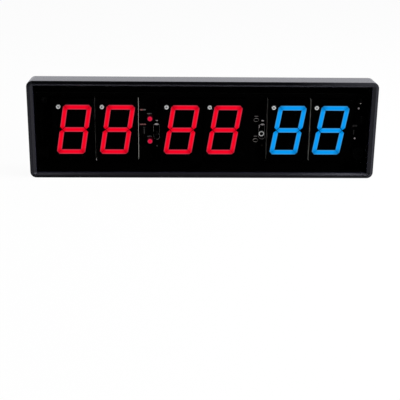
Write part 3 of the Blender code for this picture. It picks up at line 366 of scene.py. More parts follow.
def rim_plastic(name, dark, light):
    """The case's plastic on the outer edge of the rim, in painted shade that pales towards the right end into
    a painted highlight.
    """
    made = case_plastic(name, dark, light)
    tree = made.node_tree
    shader = tree.nodes["Principled BSDF"]
    place = tree.nodes.new("ShaderNodeTexCoord")
    axes = tree.nodes.new("ShaderNodeSeparateXYZ")
    tree.links.new(place.outputs["Object"], axes.inputs["Vector"])
    pale = add_node(tree, "ShaderNodeMapRange", From_Min=HIGHLIGHT_FROM, From_Max=CASE_HALF_WIDTH)
    tree.links.new(axes.outputs["X"], pale.inputs["Value"])
    tone = shader.inputs["Base Color"].links[0].from_socket
    paled = blend_colours(tree, pale.outputs["Result"], tone, linear(HIGHLIGHT_TONE))
    tree.links.new(paled, shader.inputs["Base Color"])
    return made


def clear_pane(name):
    """A clear sheet that passes light straight through and mirrors only at low angles."""
    made, tree, shader = new_material(name)
    tree.nodes.remove(shader)
    through = add_node(tree, "ShaderNodeBsdfTransparent", Color=(PANE_TONE, PANE_TONE, PANE_TONE, 1.0))
    mirror = tree.nodes.new("ShaderNodeBsdfGlossy")
    tree.links.new(between(tree, grain(tree, PANE_RIPPLE), *PANE_ROUGHNESS), mirror.inputs["Roughness"])
    lean = add_node(tree, "ShaderNodeLayerWeight", Blend=MIRROR_BLEND)
    raised = tree.nodes.new("ShaderNodeMath")
    raised.operation = "POWER"
    raised.inputs[1].default_value = MIRROR_POWER
    tree.links.new(lean.outputs["Facing"], raised.inputs[0])
    sheets = (through.outputs["BSDF"], mirror.outputs["BSDF"])
    blend_shaders(tree, raised.outputs["Value"], *sheets, "Material Output")
    return made


def module_shell(name, dark, light):
    """The moulded shell of a digit module; its paler and darker copies are painted light and painted shade.
    """
    return surface(name, dark, light, (0.5, 0.6), tint=0.3)


def board_ink(name, dark, light):
    """Matt print on the board."""
    return surface(name, dark, light, (0.6, 0.7), 3000.0, 0.3, tint=0.1)


def resin(name, dark, light, roughness):
    """Milky resin that isn't lit."""
    return surface(name, dark, light, roughness, 600.0, 0.1, tint=0.3)


def zinc(name, dark, light, roughness):
    """Plated steel."""
    return surface(name, dark, light, roughness, 700.0, 0.2, 1.0)


def case_finishes():
    """Plastics of the case and its cover, with darker and paler copies of the case plastic as painted shade
    and painted light, the window, and the black of what lies behind it, with painted shade.
    """
    return {
        "case": case_plastic("case_plastic", (17, 17, 19), (26, 26, 29)),
        "case_edge_shade": rim_plastic("case_plastic_edge_painted_shade_and_highlight", (3, 3, 4), (7, 7, 8)),
        "case_under_lit": case_plastic("case_plastic_painted_light", (34, 34, 37), (44, 44, 48)),
        "case_end_lit": case_plastic("case_plastic_painted_highlight", (34, 34, 38), (42, 42, 46)),
        "case_end_shade": case_plastic("case_plastic_painted_shade", (9, 9, 10), (16, 16, 18)),
        "cover": surface("cover_plastic", (13, 13, 15), (22, 22, 25), (0.42, 0.55), 1100.0, 0.5, tint=0.5),
        "window": clear_pane("window_sheet"),
        # Near-black and without gloss, darker than the plastic and the black parts it covers: painted shade
        # inside the case
        "inside": surface("inside_black_painted_shade", (1, 1, 1), (4, 4, 4), (0.6, 0.7), 900.0, 0.2, gloss=0.0),
    }


def module_finishes():
    """Shell with its lit and shaded copies, paint that also serves as painted shade, resins and carrier of
    the modules, and the resin of the colon lights.
    """
    return {
        "module": module_shell("module_shell", (182, 182, 177), (202, 202, 196)),
        "module_lit": module_shell("module_shell_painted_light", (228, 228, 222), (240, 240, 234)),
        "module_half_shade": module_shell("module_shell_painted_half_shade", (106, 106, 103), (120, 120, 116)),
        "module_shade": module_shell("module_shell_painted_shade", (80, 80, 78), (94, 94, 91)),
        "paint_and_shade": surface("module_paint_and_painted_shade", (0, 0, 0), (3, 3, 3), (0.5, 0.6), 1200.0, 0.15, gloss=0.0),
        "red": lamp_resin("resin_red", (247, 0, 33), (234, 18, 44), (192, 62, 82), (70, 0, 9), 1.0),
        "blue": lamp_resin("resin_blue", (2, 152, 244), (20, 157, 238), (70, 146, 198), (0, 32, 60), 1.03),
        "lamp": lamp_resin("lamp_red", (214, 6, 50), (210, 24, 62), (186, 44, 74), (20, 0, 2), 1.06),
        "milk": resin("resin_milk", (194, 196, 195), (212, 214, 213), (0.3, 0.4)),
        "milk_shade": resin("resin_milk_painted_shade", (112, 114, 114), (130, 132, 132), (0.4, 0.5)),
        "carrier": surface("carrier_board", (150, 122, 70), (170, 140, 86), (0.5, 0.65), 1500.0, 0.3),
    }


def board_finishes():
    """The main board, its front in painted shade, what is printed or plated on it, and the blocks that stand
    on it.
    """
    return {
        "board": surface("board_mask_front_painted_shade", (0, 0, 0), (4, 4, 4), (0.5, 0.6), 800.0, 0.15, gloss=0.0),
        "board_rear": surface("board_mask_rear", (10, 16, 12), (18, 26, 20), (0.35, 0.5), 800.0, 0.2),
        "ink": board_ink("board_ink", (88, 86, 86), (112, 109, 109)),
        "ink_line": board_ink("board_ink_line", (150, 148, 146), (178, 175, 173)),
        "ink_dim": board_ink("board_ink_dim", (100, 99, 99), (120, 118, 118)),
        "ink_faint": board_ink("board_ink_faint", (34, 33, 33), (50, 49, 49)),
        "ink_warm": board_ink("board_ink_warm", (104, 68, 68), (130, 86, 86)),
        "plating": surface("board_plating", (165, 160, 163), (190, 186, 189), (0.35, 0.45), 3000.0, 0.2, 1.0),
        "chip": surface("chip_epoxy", (16, 16, 17), (30, 30, 32), (0.5, 0.65), 2500.0, 0.4),
        "brown": surface("brown_block", (128, 66, 22), (160, 88, 34), (0.4, 0.5), 900.0, 0.15),
        "ceramic": surface("dark_ceramic", (62, 62, 64), (78, 78, 80), (0.35, 0.45), 1200.0, 0.2),
    }


def metal_finishes():
    """Leads and pins, and the screws, with a paler copy of the zinc as painted light and a darker one as
    painted shade in the recesses.
    """
    return {
        "tin": surface("tinned_metal", (176, 178, 180), (205, 206, 208), (0.25, 0.4), 900.0, 0.15, 1.0),
        "zinc": zinc("zinc_plate", (168, 170, 172), (202, 203, 204), (0.25, 0.4)),
        "zinc_lit": zinc("zinc_plate_painted_light", (226, 227, 228), (242, 243, 244), (0.3, 0.4)),
        "zinc_shade": zinc("zinc_plate_recess_painted_shade", (40, 40, 42), (60, 60, 62), (0.4, 0.5)),
        "zinc_black": surface("blackened_screw", (3, 3, 3), (8, 8, 8), (0.5, 0.6), 700.0, 0.2, gloss=0.05),
    }


def make_materials():
    """Every finish on the object, by name."""
    return case_finishes() | module_finishes() | board_finishes() | metal_finishes()


# Meshes


def bands(rings):
    """The four corners of each face between neighbouring rings, with the ring's and the side's numbers."""
    for number, (first, second) in enumerate(zip(rings, rings[1:])):
        for i in range(len(first)):
            j = (i + 1) % len(first)
            yield number, i, (first[i], first[j], second[j], second[i])


def circle(steps):
    """Angles spaced evenly round a circle."""
    return [2 * math.pi * i / steps for i in range(steps)]


def turned(bm, profile, x, z):
    """Turns (radius, y) pairs about a front to rear axis; a zero radius closes to one point."""
    rows = []
    for radius, y in profile:
        if radius == 0:
            rows.append([bm.verts.new((x, y, z))] * ROUND_STEPS)
            continue
        places = [(x + radius * math.cos(a), y, z + radius * math.sin(a)) for a in circle(ROUND_STEPS)]
        rows.append([bm.verts.new(place) for place in places])
    for _, _, corners in bands(rows):
        bm.faces.new(list(dict.fromkeys(corners)))


def add_object(name, data):
    """A new object in the scene."""
    thing = bpy.data.objects.new(name, data)
    bpy.context.scene.collection.objects.link(thing)
    return thing


def add_mesh(name, bm, made):
    """Turns a finished bmesh into an object in the scene, with one material."""
    data = bpy.data.meshes.new(name)
    bm.to_mesh(data)
    bm.free()
    data.materials.append(made)
    return add_object(name, data)


def add_piece(name, bm, made, replaced=(), smooth=False):
    """Turns a finished bmesh into a piece that rides on the case."""
    bmesh.ops.recalc_face_normals(bm, faces=bm.faces)
    piece = add_mesh(name, bm, made)
    if smooth:
        piece.data.shade_smooth()
        piece.data.set_sharp_from_angle(angle=SHARP_ANGLE)
    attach(piece, "root")
    if replaced:
        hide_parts(*replaced)
    return piece


def set_values(piece, name, values):
    """Stores one value for each point of a piece."""
    kept = piece.data.attributes.new(name, "FLOAT", "POINT")
    kept.data.foreach_set("value", values)


def middle_of(name):
    """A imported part's box, and the place of its front to rear axis."""
    low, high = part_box(name)
    return low, high, (low.x + high.x) / 2, (low.z + high.z) / 2


# The bars of a digit, before they are leant


def crossing(first, second, a, b):
    """The point of a side where a value that is a at its start and b at its end is zero."""
    share = a / (a - b)
    return tuple(f + (s - f) * share for f, s in zip(first, second))


def clip(polygon, normal, offset):
    """Keeps the part of a convex polygon where its dot product with normal is at most offset."""
    kept = []
    for first, second in zip(polygon, polygon[1:] + polygon[:1]):
        a = first[0] * normal[0] + first[1] * normal[1] - offset
        b = second[0] * normal[0] + second[1] * normal[1] - offset
        if a <= 0:
            kept.append(first)
        if a * b < 0:
            kept.append(crossing(first, second, a, b))
    return kept


def split(polygon, axis, place):
    """Adds a point to each side of a polygon that passes a place along an axis."""
    points = []
    for first, second in zip(polygon, polygon[1:] + polygon[:1]):
        points.append(first)
        a, b = first[axis] - place, second[axis] - place
        if a * b < 0:
            points.append(crossing(first, second, a, b))
    return points


def side(u, v, offset):
    """The cut along one of a bar's sides."""
    return (u, v), offset, False


def corner(su, sv):
    """The cut across a corner of the digit. A cut is a normal, an offset, and whether it is a seam."""
    size = SHARP_CUT if su == sv else BLUNT_CUT
    return (su * DIAGONAL, sv * DIAGONAL), (HALF_WIDTH + HALF_HEIGHT - size) * DIAGONAL, False


def mitre(su, sv, keep):
    """The seam between the two bars that meet at a corner of the digit."""
    normal = (keep * su * DIAGONAL, -keep * sv * DIAGONAL)
    offset = normal[0] * su * HALF_WIDTH + normal[1] * sv * HALF_HEIGHT
    return normal, offset - SEAM_HALF_WIDTH, True


def notch(u, slope_u, slope_v):
    """The seam between two of the bars that meet at an end of the middle bar."""
    normal = (slope_u * DIAGONAL, slope_v * DIAGONAL)
    return normal, normal[0] * u - NOTCH_HALF_WIDTH, True


def level_bar(sv):
    """The top or the bottom bar: its cuts, its axis, its middle and half its length between seams."""
    cuts = [side(0, sv, HALF_HEIGHT), side(0, -sv, BAR_WIDTH - HALF_HEIGHT)]
    cuts += [side(su, 0, HALF_WIDTH) for su in (1, -1)]
    for su in (1, -1):
        cuts += [corner(su, sv), mitre(su, sv, 1)]
    return cuts, 0, 0.0, NODE_X


def upright_bar(su, sv):
    """One of the four upright bars, in the same terms."""
    cuts = [side(su, 0, HALF_WIDTH), side(-su, 0, BAR_WIDTH - HALF_WIDTH)]
    cuts += [side(0, sv, HALF_HEIGHT), side(0, -sv, 0.0), corner(su, sv), mitre(su, sv, -1)]
    cuts += [notch(su * NODE_X, slope, -sv) for slope in (1, -1)]
    return cuts, 1, sv * UPRIGHT_RISE, UPRIGHT_RISE


def middle_bar():
    """The middle bar, in the same terms."""
    cuts = [side(0, sv, BAR_WIDTH / 2) for sv in (1, -1)]
    cuts += [side(su, 0, HALF_WIDTH) for su in (1, -1)]
    cuts += [notch(su * NODE_X, su, slope) for su in (1, -1) for slope in (1, -1)]
    return cuts, 0, 0.0, NODE_X


def digit_bars():
    """The seven bars: each end of the digit with its uprights, then the middle."""
    bars = []
    for sv in (1, -1):
        bars += [level_bar(sv), upright_bar(1, sv), upright_bar(-1, sv)]
    return [*bars, middle_bar()]


def bar_outline(bar, inset, squeeze):
    """The polygon inside a bar's cuts, each drawn in by inset, then squeezed across the bar.

    It has a point on each side where the evenly lit middle ends.
    """
    cuts, axis, middle, half = bar
    size = DIGIT_HEIGHT
    polygon = [(-size, -size), (size, -size), (size, size), (-size, size)]
    for normal, offset, _ in cuts:
        polygon = clip(polygon, normal, offset - inset)
    for place in (middle - half + FADE_LENGTH, middle + half - FADE_LENGTH):
        polygon = split(polygon, axis, place)
    across = [point[1 - axis] for point in polygon]
    centre = (min(across) + max(across)) / 2
    squeezed = [list(point) for point in polygon]
    for point in squeezed:
        point[1 - axis] = centre + (point[1 - axis] - centre) * squeeze
    return squeezed


def on_seam(bar, *points):
    """Whether points of a bar's foot all lie on one of its seams."""
    cuts, inset = bar[0], BAR_STEPS[0][0]
    for (u, v), offset, seam in cuts:
        if seam and all(abs(u * point[0] + v * point[1] - offset + inset) < TOUCH for point in points):
            return True
    return False


def past_middle(bar, point):
    """How far a point lies past the evenly lit middle of a bar; less than zero inside it."""
    _, axis, middle, half = bar
    return abs(point[axis] - middle) - half + FADE_LENGTH


# Digits


def bar_rings(bm, bar, outlines, index):
    """The points of a bar on its module's face, each with how strongly it is lit."""
    power = bm.verts.layers.float["power"]
    rings = []
    for outline, (_, _, rise, _) in zip(outlines, BAR_STEPS):
        rings.append([])
        for u, v in outline:
            vert = bm.verts.new((MODULE_XS[index] + u + DIGIT_SLOPE * v, FACE_Y - rise, MODULE_Z + v))
            vert[power] = 1.0 - FADE_DEPTH * max(0.0, past_middle(bar, (u, v))) / FADE_LENGTH
            rings[-1].append(vert)
    return rings


def cut_cap(bm, bar, foot, cap):
    """Cuts a bar's cap across where its evenly lit middle ends."""
    _, axis, middle, _ = bar
    ends = [i for i, point in enumerate(foot) if abs(past_middle(bar, point)) < TOUCH]
    for way in (-1, 1):
        pair = [cap[i] for i in ends if way * (foot[i][axis] - middle) > 0]
        bmesh.ops.connect_verts(bm, verts=pair)


def add_bar(bm, bar, index):
    """One lit bar, whose face corners keep how near the core they are."""
    glow = bm.loops.layers.float["glow"]
    outlines = [bar_outline(bar, inset, squeeze) for inset, squeeze, _, _ in BAR_STEPS]
    foot, rings = outlines[0], bar_rings(bm, bar, outlines, index)
    for level, i, corners in bands(rings):
        seam = on_seam(bar, foot[i], foot[(i + 1) % len(foot)])
        face = bm.faces.new(corners)
        for loop, step in zip(face.loops, (level, level, level + 1, level + 1)):
            loop[glow] = CORE_GLOW if seam else BAR_STEPS[step][3]
    bm.faces.new(rings[0][::-1])
    for loop in bm.faces.new(rings[-1]).loops:
        loop[glow] = CORE_GLOW
    cut_cap(bm, bar, foot, rings[-1])


def build_bars(index, made):
    """The seven lit bars of one digit."""
    bm = bmesh.new()
    bm.verts.layers.float.new("power")
    bm.loops.layers.float.new("glow")
    for bar in digit_bars():
        add_bar(bm, bar, index)
    digit, colour = f"digit_{index + 1}", MODULE_LIGHT[index]
    add_piece(f"{digit}_bars", bm, made[colour], [f"{digit}_segments"])


def build_point(index, made):
    """The unlit decimal point: a milky disc with a rounded rim and a dimple, whose rim chamfer and dimple
    carry painted shade.
    """
    digit = f"digit_{index + 1}"
    x, z = MODULE_XS[index] + POINT_X, MODULE_Z + POINT_RISE
    profile = (
        (0, POINT_DEPTH), (POINT_RADIUS, POINT_DEPTH), (POINT_RADIUS, POINT_RIM),
        (POINT_RADIUS - RIM_CUT * POINT_RIM, RIM_CUT * POINT_RIM), (POINT_RADIUS - POINT_RIM, 0.0),
        (DIMPLE_RADIUS, 0.0), (DIMPLE_FLOOR_RADIUS, DIMPLE_EDGE_DEPTH), (0, DIMPLE_DEPTH),
    )
    bm = bmesh.new()
    turned(bm, [(radius, FACE_Y + depth) for radius, depth in profile], x, z)
    piece = add_piece(f"{digit}_point_cap", bm, made["milk"], [f"{digit}_point"], True)
    piece.data.materials.append(made["milk_shade"])
    for face in piece.data.polygons:
        middle = face.center
        flat = DIMPLE_RADIUS < math.hypot(middle.x - x, middle.z - z) < POINT_RADIUS - POINT_RIM
        if middle.y < FACE_Y + POINT_DEPTH / 2 and not flat:
            face.material_index = 1


# Colon lights


def dome_glow(place, middle):
    """How brightly a place on a dome glows; behind the dome's middle it doesn't."""
    if place.y >= middle.y + DOME_MARGIN:
        return SKIRT_GLOW
    aim = Vector((0.0, -math.cos(DOME_LEAN), math.sin(DOME_LEAN)))
    facing = (place - middle).normalized().dot(aim)
    return min(1.0, max(0.0, DOME_RISE * (facing - DOME_START)))


def dome_profile(low, high):
    """The section of a light that fills a box, from the back of its flange to the tip of its dome."""
    flange, step = (high.x - low.x) / 2, high.y - FLANGE_DEPTH
    profile = [(0, high.y), (flange, high.y), (flange, step), (DOME_RADIUS, step)]
    for i in range(DOME_STEPS):
        angle = math.pi / 2 * i / DOME_STEPS
        y = low.y + DOME_RADIUS - DOME_RADIUS * math.sin(angle)
        profile.append((DOME_RADIUS * math.cos(angle), y))
    return [*profile, (0, low.y)]


def build_colon(made):
    """The two round lights, each a domed resin body with its flange."""
    for name in ("colon_upper_led", "colon_lower_led"):
        low, high, x, z = middle_of(name)
        middle = Vector((x, low.y + DOME_RADIUS, z))
        bm = bmesh.new()
        turned(bm, dome_profile(low, high), x, z)
        values = [dome_glow(vert.co, middle) for vert in bm.verts]
        piece = add_piece(name.replace("led", "lamp"), bm, made["lamp"], [name], True)
        set_values(piece, "glow", values)
        set_values(piece, "power", [1.0] * len(values))


# Screws


def cross_edge(angle):
    """Distance from a screw's middle to the edge of its cross, at an angle round the head."""
    turn = abs((angle + math.pi / 4) % (math.pi / 2) - math.pi / 4)
    reach = CROSS_REACH / math.cos(turn)
    return min(reach, CROSS_HALF_WIDTH / math.sin(turn)) if turn else reach


def cross_floor(angle):
    """The same distance at the floor of the cross."""
    return CROSS_FLOOR_SHARE * cross_edge(angle)


def screw_ring(bm, x, y, z, radius):
    """A ring of points round a screw's axis; radius is a length, or a function of the angle."""
    angles = circle(SCREW_STEPS)
    reaches = [radius(a) if callable(radius) else radius for a in angles]
    return [bm.verts.new((x + r * math.cos(a), y, z + r * math.sin(a))) for a, r in zip(angles, reaches)]


def screw_rows(length):
    """The rings of a screw, each a radius and a depth below the head's face, and the dish's number."""
    rows = [(SCREW_RADIUS * TIP_SHARE, length), (SCREW_RADIUS, length - SCREW_RADIUS)]
    rows.append((SCREW_RADIUS, HEAD_HEIGHT))
    rows += [(wide * HEAD_RADIUS, deep * HEAD_HEIGHT) for wide, deep in HEAD_CURVE]
    dish = len(rows)
    rows += [(DISH_RADIUS, 0.0), (DISH_RADIUS - DISH_DEPTH, DISH_DEPTH)]
    rows += [(cross_edge, DISH_DEPTH), (cross_floor, DISH_DEPTH + CROSS_DEPTH)]
    return rows, dish


def build_screw(name, made, finish, recess, glint_steps=range(0)):
    """A pan-head screw: shank with a blunt tip, rounded head, shallow dish and a cross that narrows.

    The glint steps are those round the head's flat rim that carry a painted glint.
    """
    low, high, x, z = middle_of(name)
    top, tip = (low.y, high.y) if name.startswith("board") else (high.y, low.y)
    rows, dish = screw_rows(abs(tip - top))
    inward = math.copysign(1.0, tip - top)
    bm = bmesh.new()
    rings = [screw_ring(bm, x, top + inward * at, z, radius) for radius, at in rows]
    for number, i, corners in bands(rings):
        face = bm.faces.new(corners)
        face.material_index = RECESS if number >= dish else PLAIN
        if number == dish - 1 and i in glint_steps:
            face.material_index = PAINTED_GLINT
    bm.faces.new(rings[0])
    bm.faces.new(rings[-1]).material_index = RECESS
    piece = add_piece(f"{name}_detailed", bm, made[finish], [name], True)
    piece.data.materials.append(made[recess])
    if glint_steps:
        piece.data.materials.append(made["zinc_lit"])


def build_screws(made):
    """Every screw. The board's are black, but for one in the right-hand slot in zinc with painted light, and
    one with a painted glint on its rim.
    """
    for number in range(1, COVER_SCREWS + 1):
        # The cover screws' recesses take a darker zinc: painted shade
        build_screw(f"cover_screw_{number}", made, "zinc", "zinc_shade")
    for number in range(1, BOARD_SCREWS + 1):
        finish = "zinc_lit" if number == LIT_SCREW else "zinc_black"
        glint_steps = GLINT_STEPS if number == GLINT_SCREW else range(0)
        build_screw(f"board_screw_{number}", made, finish, "zinc_black", glint_steps)


# Shapes of the marks on the board


def add_print(bm, outline):
    """A flat printed shape on the board's front."""
    levels = (BOARD_FRONT, BOARD_FRONT - INK_HEIGHT)
    rings = [[bm.verts.new((x, y, z)) for x, z in outline] for y in levels]
    for _, _, corners in bands(rings):
        bm.faces.new(corners)
    bm.faces.new(rings[0][::-1])
    bm.faces.new(rings[-1])


def oval(x, z, half_width, half_height, straight):
    """Points of an oval, or of a capsule where a straight part parts its two ends."""
    points = []
    for i in range(OVAL_STEPS):
        angle = 2 * math.pi * (i + 0.5) / OVAL_STEPS
        lift = math.copysign(straight / 2, math.sin(angle))
        points.append((x + half_width * math.cos(angle), z + lift + half_height * math.sin(angle)))
    return points


def ring_mark(bm, x, z, half_width, half_height, straight=0.0, line=LINE):
    """A printed oval or capsule outline."""
    outer = oval(x, z, half_width, half_height, straight)
    inner = oval(x, z, half_width - line, half_height - line, straight)
    top = BOARD_FRONT - INK_HEIGHT
    levels = [(outer, BOARD_FRONT), (outer, top), (inner, top), (inner, BOARD_FRONT)]
    rings = [[bm.verts.new((u, y, v)) for u, v in points] for points, y in levels]
    for _, _, corners in bands([*rings, rings[0]]):
        bm.faces.new(corners)


def arc_mark(bm, x, z, radius, width, start, end, flatten=1.0):
    """A printed crescent between two angles in degrees, widest at its middle; flatten squeezes it."""
    outer, inner = [], []
    for i in range(ARC_STEPS + 1):
        angle = math.radians(start + (end - start) * i / ARC_STEPS)
        thick = width * (CRESCENT_TIP + (1 - CRESCENT_TIP) * math.sin(math.pi * i / ARC_STEPS))
        for points, reach in ((outer, radius), (inner, radius - thick)):
            points.append((x + reach * math.cos(angle), z + flatten * reach * math.sin(angle)))
    add_print(bm, outer + inner[::-1])


def bar_mark(bm, x, z, width, height):
    """A short printed label, left as a plain rounded bar."""
    cut = min(width, height) / 4
    w, h = width / 2, height / 2
    outline = [(-w, -h + cut), (-w + cut, -h), (w - cut, -h), (w, -h + cut),
               (w, h - cut), (w - cut, h), (-w + cut, h), (-w, h - cut)]
    add_print(bm, [(x + u, z + v) for u, v in outline])


def dot_mark(bm, x, z, radius):
    """A printed or plated dot."""
    add_print(bm, [(x + radius * math.cos(a), z + radius * math.sin(a)) for a in circle(DOT_STEPS)])


# Marks on the board: each one's numbers are its place, then its size


def draw_outlines(bm):
    """Capsules round the two slots."""
    ring_mark(bm, -0.0424, 0.0403, 0.0029, 0.0029, 0.0096)
    ring_mark(bm, 0.0547, 0.0403, 0.0029, 0.0029, 0.0090)
    arc_mark(bm, -0.0420, 0.0352, 0.0029, 0.0006, 215, 345)
    arc_mark(bm, -0.0420, 0.0360, 0.0029, 0.0004, 40, 140)


def draw_lines(bm):
    """The foot of the right-hand slot's capsule, and the two unused lamp places."""
    arc_mark(bm, 0.0551, 0.0358, 0.0029, 0.0006, 230, 330)
    for x, z in ((0.0494, 0.0512), (0.0492, 0.0320)):
        ring_mark(bm, x, z, 0.0024, 0.0017, line=THIN_LINE)
        arc_mark(bm, x, z, 0.0025, 0.0007, 40, 150, 0.7)
        arc_mark(bm, x, z, 0.0024, 0.0007, 215, 315, 0.7)


def draw_pads(bm):
    """Bare metal: crowns and pads over the slots; a pad under the first gap and the right end's points are
    painted highlights.
    """
    arc_mark(bm, -0.0424, 0.0448, 0.0031, 0.0018, 42, 138)
    arc_mark(bm, 0.0551, 0.0448, 0.0031, 0.0017, 42, 132)
    bar_mark(bm, -0.0421, 0.0503, 0.0019, 0.0007)
    bar_mark(bm, 0.0553, 0.0506, 0.0022, 0.0011)
    bar_mark(bm, 0.0523, 0.0450, 0.0007, 0.0030)
    bar_mark(bm, -0.0982, 0.0133, 0.0005, 0.0022)
    dot_mark(bm, 0.1435, 0.0626, 0.0008)
    dot_mark(bm, 0.1416, 0.0342, 0.00075)


def draw_warm_labels(bm):
    """Reddish labels left of the colon."""
    bar_mark(bm, -0.0561, 0.0604, 0.0030, 0.0013)
    bar_mark(bm, -0.0548, 0.0467, 0.0058, 0.0012)


def draw_labels(bm):
    """Grey labels beside the lights and over the unused lamp places."""
    bar_mark(bm, -0.0533, 0.0604, 0.0023, 0.0012)
    bar_mark(bm, -0.0487, 0.0567, 0.0044, 0.0011)
    bar_mark(bm, -0.0489, 0.0353, 0.0042, 0.0010)
    bar_mark(bm, 0.0494, 0.0547, 0.0038, 0.0010)
    bar_mark(bm, 0.0490, 0.0358, 0.0032, 0.0009)


def draw_faint_marks(bm):
    """Marks that hardly show."""
    bar_mark(bm, -0.0538, 0.0438, 0.0020, 0.0008)
    bar_mark(bm, -0.0537, 0.0404, 0.0013, 0.0052)
    dot_mark(bm, -0.0422, 0.0262, 0.0010)
    dot_mark(bm, 0.0553, 0.0272, 0.0010)
    # The right end's faint dots and bar are painted highlights
    dot_mark(bm, 0.1399, 0.0460, 0.0011)
    dot_mark(bm, 0.1422, 0.0460, 0.0012)
    bar_mark(bm, 0.1404, 0.0400, 0.0011, 0.0048)


def build_marks(made):
    """Everything printed or plated on the front of the main board, with a few painted highlights, one piece
    for each colour.
    """
    sheets = (
        ("board_outlines", "ink_dim", "lens_milk", draw_outlines),
        ("board_lines", "ink_line", "lens_milk", draw_lines),
        ("board_pads_and_painted_highlights", "plating", "tin", draw_pads),
        ("board_labels_warm", "ink_warm", "lens_milk", draw_warm_labels),
        ("board_labels", "ink", "lens_milk", draw_labels),
        ("board_marks_faint", "ink_faint", "lens_milk", draw_faint_marks),
    )
    for name, ink, slot, draw in sheets:
        bm = bmesh.new()
        draw(bm)
        add_piece(name, bm, made[ink])


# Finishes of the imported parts


def set_finishes(node, *finishes):
    """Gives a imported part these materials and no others."""
    node.data.materials.clear()
    for finish in finishes:
        node.data.materials.append(finish)


def finish_for(name):
    """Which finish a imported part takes, by its name."""
    return next((finish for word, finish in FINISH_BY_WORD if word in name), OTHER_FINISH)


def second_finish(node, made, holds):
    """Gives the faces for which holds is true another finish."""
    node.data.materials.append(made)
    for face in node.data.polygons:
        if holds(face):
            face.material_index = 1


def outer_inset(x, z):
    """How far a point lies inside the rounded outline of the case."""
    u = abs(x) - (CASE_HALF_WIDTH - CORNER_RADIUS)
    v = abs(z - CASE_HALF_HEIGHT) - (CASE_HALF_HEIGHT - CORNER_RADIUS)
    return CORNER_RADIUS - math.hypot(max(u, 0.0), max(v, 0.0)) - min(max(u, v), 0.0)


def frame_finish(face):
    """Which finish a face of the case takes: painted shade inside, on the rim's outer edge and at the right
    end, and painted light under the top bevel and on the right end's flat rim.
    """
    x, y, z = face.center
    if y > WINDOW_REAR and abs(x) < INNER_X and INNER_Z[0] < z < INNER_Z[1]:
        return "inside"
    top_rim = z > TOP_RIM_Z and abs(x) < TOP_RIM_REACH
    # The top rim and the rim's outer edge take painted shade
    if y < RIM_BACK and (top_rim or outer_inset(x, z) < EDGE_WIDTH):
        return "case_end_shade" if face.normal.x > END_FACING else "case_edge_shade"
    # Under the top bevel a lighter copy of the plastic paints the light that bounces up from the floor
    if y < WINDOW_REAR and z > TOP_BEVEL_Z and face.normal.z < -FACING:
        return "case_under_lit"
    # The right end's flat rim takes a paler copy of the plastic: a painted highlight
    if x > RIGHT_END_X and y < RIM_BACK and face.normal.y < RIM_FACING:
        return "case_end_lit"
    # The right end's bevel, like the right-facing outer edge above, takes a darker copy of the plastic:
    # painted shade
    if x > RIGHT_END_X and y < WINDOW_REAR and face.normal.x < BEVEL_LEAN:
        return "case_end_shade"
    return "case"


def dress_frame(node, made):
    """Gives each face of the case its finish."""
    finishes = ("case", "inside", "case_edge_shade", "case_under_lit", "case_end_lit", "case_end_shade")
    set_finishes(node, *(made[finish] for finish in finishes))
    for face in node.data.polygons:
        face.material_index = finishes.index(frame_finish(face))


def dress_module(body, made, left, right):
    """Black paint on a reflector block's face, which also paints shade on its other faces, and on each of its
    sides the shell or a copy of it in painted light or painted shade.
    """
    low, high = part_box(body.name)
    middle, reach = (low.x + high.x) / 2, (high.x - low.x) / 2 - SIDE_DEPTH
    set_finishes(body, made["paint_and_shade"], made[left], made[right])
    for face in body.data.polygons:
        if abs(face.normal.x) > SIDE_FACING and abs(face.center.x - middle) > reach:
            face.material_index = 1 if face.normal.x < 0 else 2


def faces_inside(face):
    """Whether a face of the rear cover lies inside the case or in one of its openings."""
    return face.center.y < COVER_REAR and face.normal.y < FACING


def faces_front(face):
    """Whether a face looks at the window."""
    return face.normal.y < -FACING


def dress_parts(made):
    """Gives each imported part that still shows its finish."""
    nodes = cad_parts
    for name, node in nodes.items():
        set_finishes(node, made[finish_for(name)])
    dress_frame(nodes["front_frame"], made)
    # The cover's inner faces take the inside finish: painted shade
    second_finish(nodes["back_cover"], made["inside"], faces_inside)
    # The board's front, behind the window, takes painted shade
    second_finish(nodes["main_board"], made["board"], faces_front)
    for index, (left, right) in enumerate(SIDE_FINISH):
        dress_module(nodes[f"digit_{index + 1}_body"], made, left, right)


# Stage


def studio_white(tree):
    """One for the rays that see plain white, those of the camera and of reflections, and zero for others."""
    path = tree.nodes.new("ShaderNodeLightPath")
    total = path.outputs["Is Camera Ray"]
    for kind in ("Is Glossy Ray", "Is Transmission Ray"):
        add = tree.nodes.new("ShaderNodeMath")
        add.operation = "MAXIMUM"
        tree.links.new(total, add.inputs[0])
        tree.links.new(path.outputs[kind], add.inputs[1])
        total = add.outputs["Value"]
    return total


def make_world():
    """A white surround that lights the object from all sides at a plain level."""
    world = bpy.data.worlds.new("studio")
    bpy.context.scene.world = world
    world.use_nodes = True
    tree = world.node_tree
    back = tree.nodes["Background"]
    back.inputs["Color"].default_value = SURROUND_TINT
    back.inputs["Strength"].default_value = SURROUND_STRENGTH
    seen = add_node(tree, "ShaderNodeBackground", Color=WHITE, Strength=1.0)
    sheets = (back.outputs["Background"], seen.outputs["Background"])
    blend_shaders(tree, studio_white(tree), *sheets, "World Output")


def add_sheet(name, reach, first, last, made):
    """A flat sheet between two edges, each given by its place from front to back and upwards."""
    bm = bmesh.new()
    corners = [(-reach, *first), (reach, *first), (reach, *last), (-reach, *last)]
    bm.faces.new([bm.verts.new(place) for place in corners])
    return add_mesh(name, bm, made)


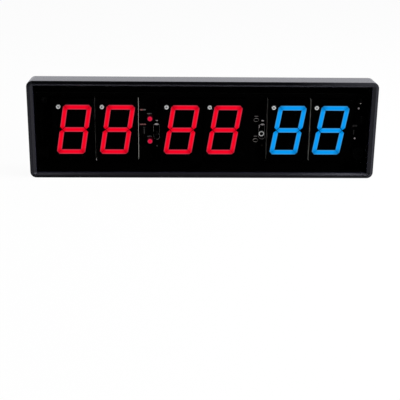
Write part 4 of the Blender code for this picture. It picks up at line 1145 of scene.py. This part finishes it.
def make_floor():
    """A pale floor that keeps a soft shadow and stays white further out."""
    made, tree, shader = new_material("floor_white")
    shader.inputs["Base Color"].default_value = FLOOR_TONE
    shader.inputs["Roughness"].default_value = FLOOR_ROUGHNESS
    shader.inputs["Specular IOR Level"].default_value = 0.0
    glow = add_node(tree, "ShaderNodeEmission", Color=WHITE, Strength=1.0)
    share = between(tree, studio_white(tree), 0.0, FLOOR_GLOW)
    sheets = (shader.outputs["BSDF"], glow.outputs["Emission"])
    blend_shaders(tree, share, *sheets, "Material Output")
    half = FLOOR_SIZE / 2
    floor = add_sheet("floor", half, (-half, 0.0), (half, 0.0), made)


def make_dark_card(name, reach, first, last):
    """A dark card near the object, which only glossy surfaces see."""
    cloth = surface(name + "_cloth", (20, 20, 20), (30, 30, 30), (0.8, 0.9), 20.0, gloss=0.0)
    card = add_sheet(name, reach, first, last, cloth)
    for kind in ("camera", "diffuse", "transmission", "shadow", "volume_scatter"):
        setattr(card, f"visible_{kind}", False)


def make_lamp(name, place, target, size, watts, plain):
    """A soft area lamp that points at target, and lights plain surfaces too or only makes highlights."""
    data = bpy.data.lights.new(name, "AREA")
    data.shape = "RECTANGLE"
    data.size, data.size_y = size
    data.energy = watts
    lamp = add_object(name, data)
    lamp.location = place
    lamp.rotation_euler = (Vector(target) - Vector(place)).to_track_quat("-Z", "Y").to_euler()
    lamp.visible_diffuse = plain


def make_camera():
    """The photograph's view."""
    data = bpy.data.cameras.new("camera")
    data.sensor_width = SENSOR
    data.lens = FOCAL_IN_PIXELS * SENSOR / PICTURE_PIXELS
    camera = add_object("camera", data)
    turn = Matrix.Rotation(CAMERA_YAW, 4, "Z") @ Matrix.Rotation(CAMERA_PITCH, 4, "X")
    turn = turn @ Matrix.Rotation(CAMERA_ROLL, 4, "Y") @ Matrix.Rotation(math.pi / 2, 4, "X")
    camera.matrix_world = Matrix.Translation(CAMERA_PLACE) @ turn
    bpy.context.scene.camera = camera


def build_object():
    """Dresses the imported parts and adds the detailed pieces."""
    made = make_materials()
    dress_parts(made)
    for index in range(len(MODULE_XS)):
        build_bars(index, made)
        build_point(index, made)
    build_colon(made)
    build_screws(made)
    build_marks(made)


def set_stage():
    """Floor, surround, dark cards, lamps, camera and colour handling."""
    make_floor()
    make_world()
    for card in CARDS:
        make_dark_card(*card)
    for lamp in LAMPS:
        make_lamp(*lamp)
    make_camera()
    bpy.context.scene.view_settings.view_transform = "Standard"


build_object()
set_stage()
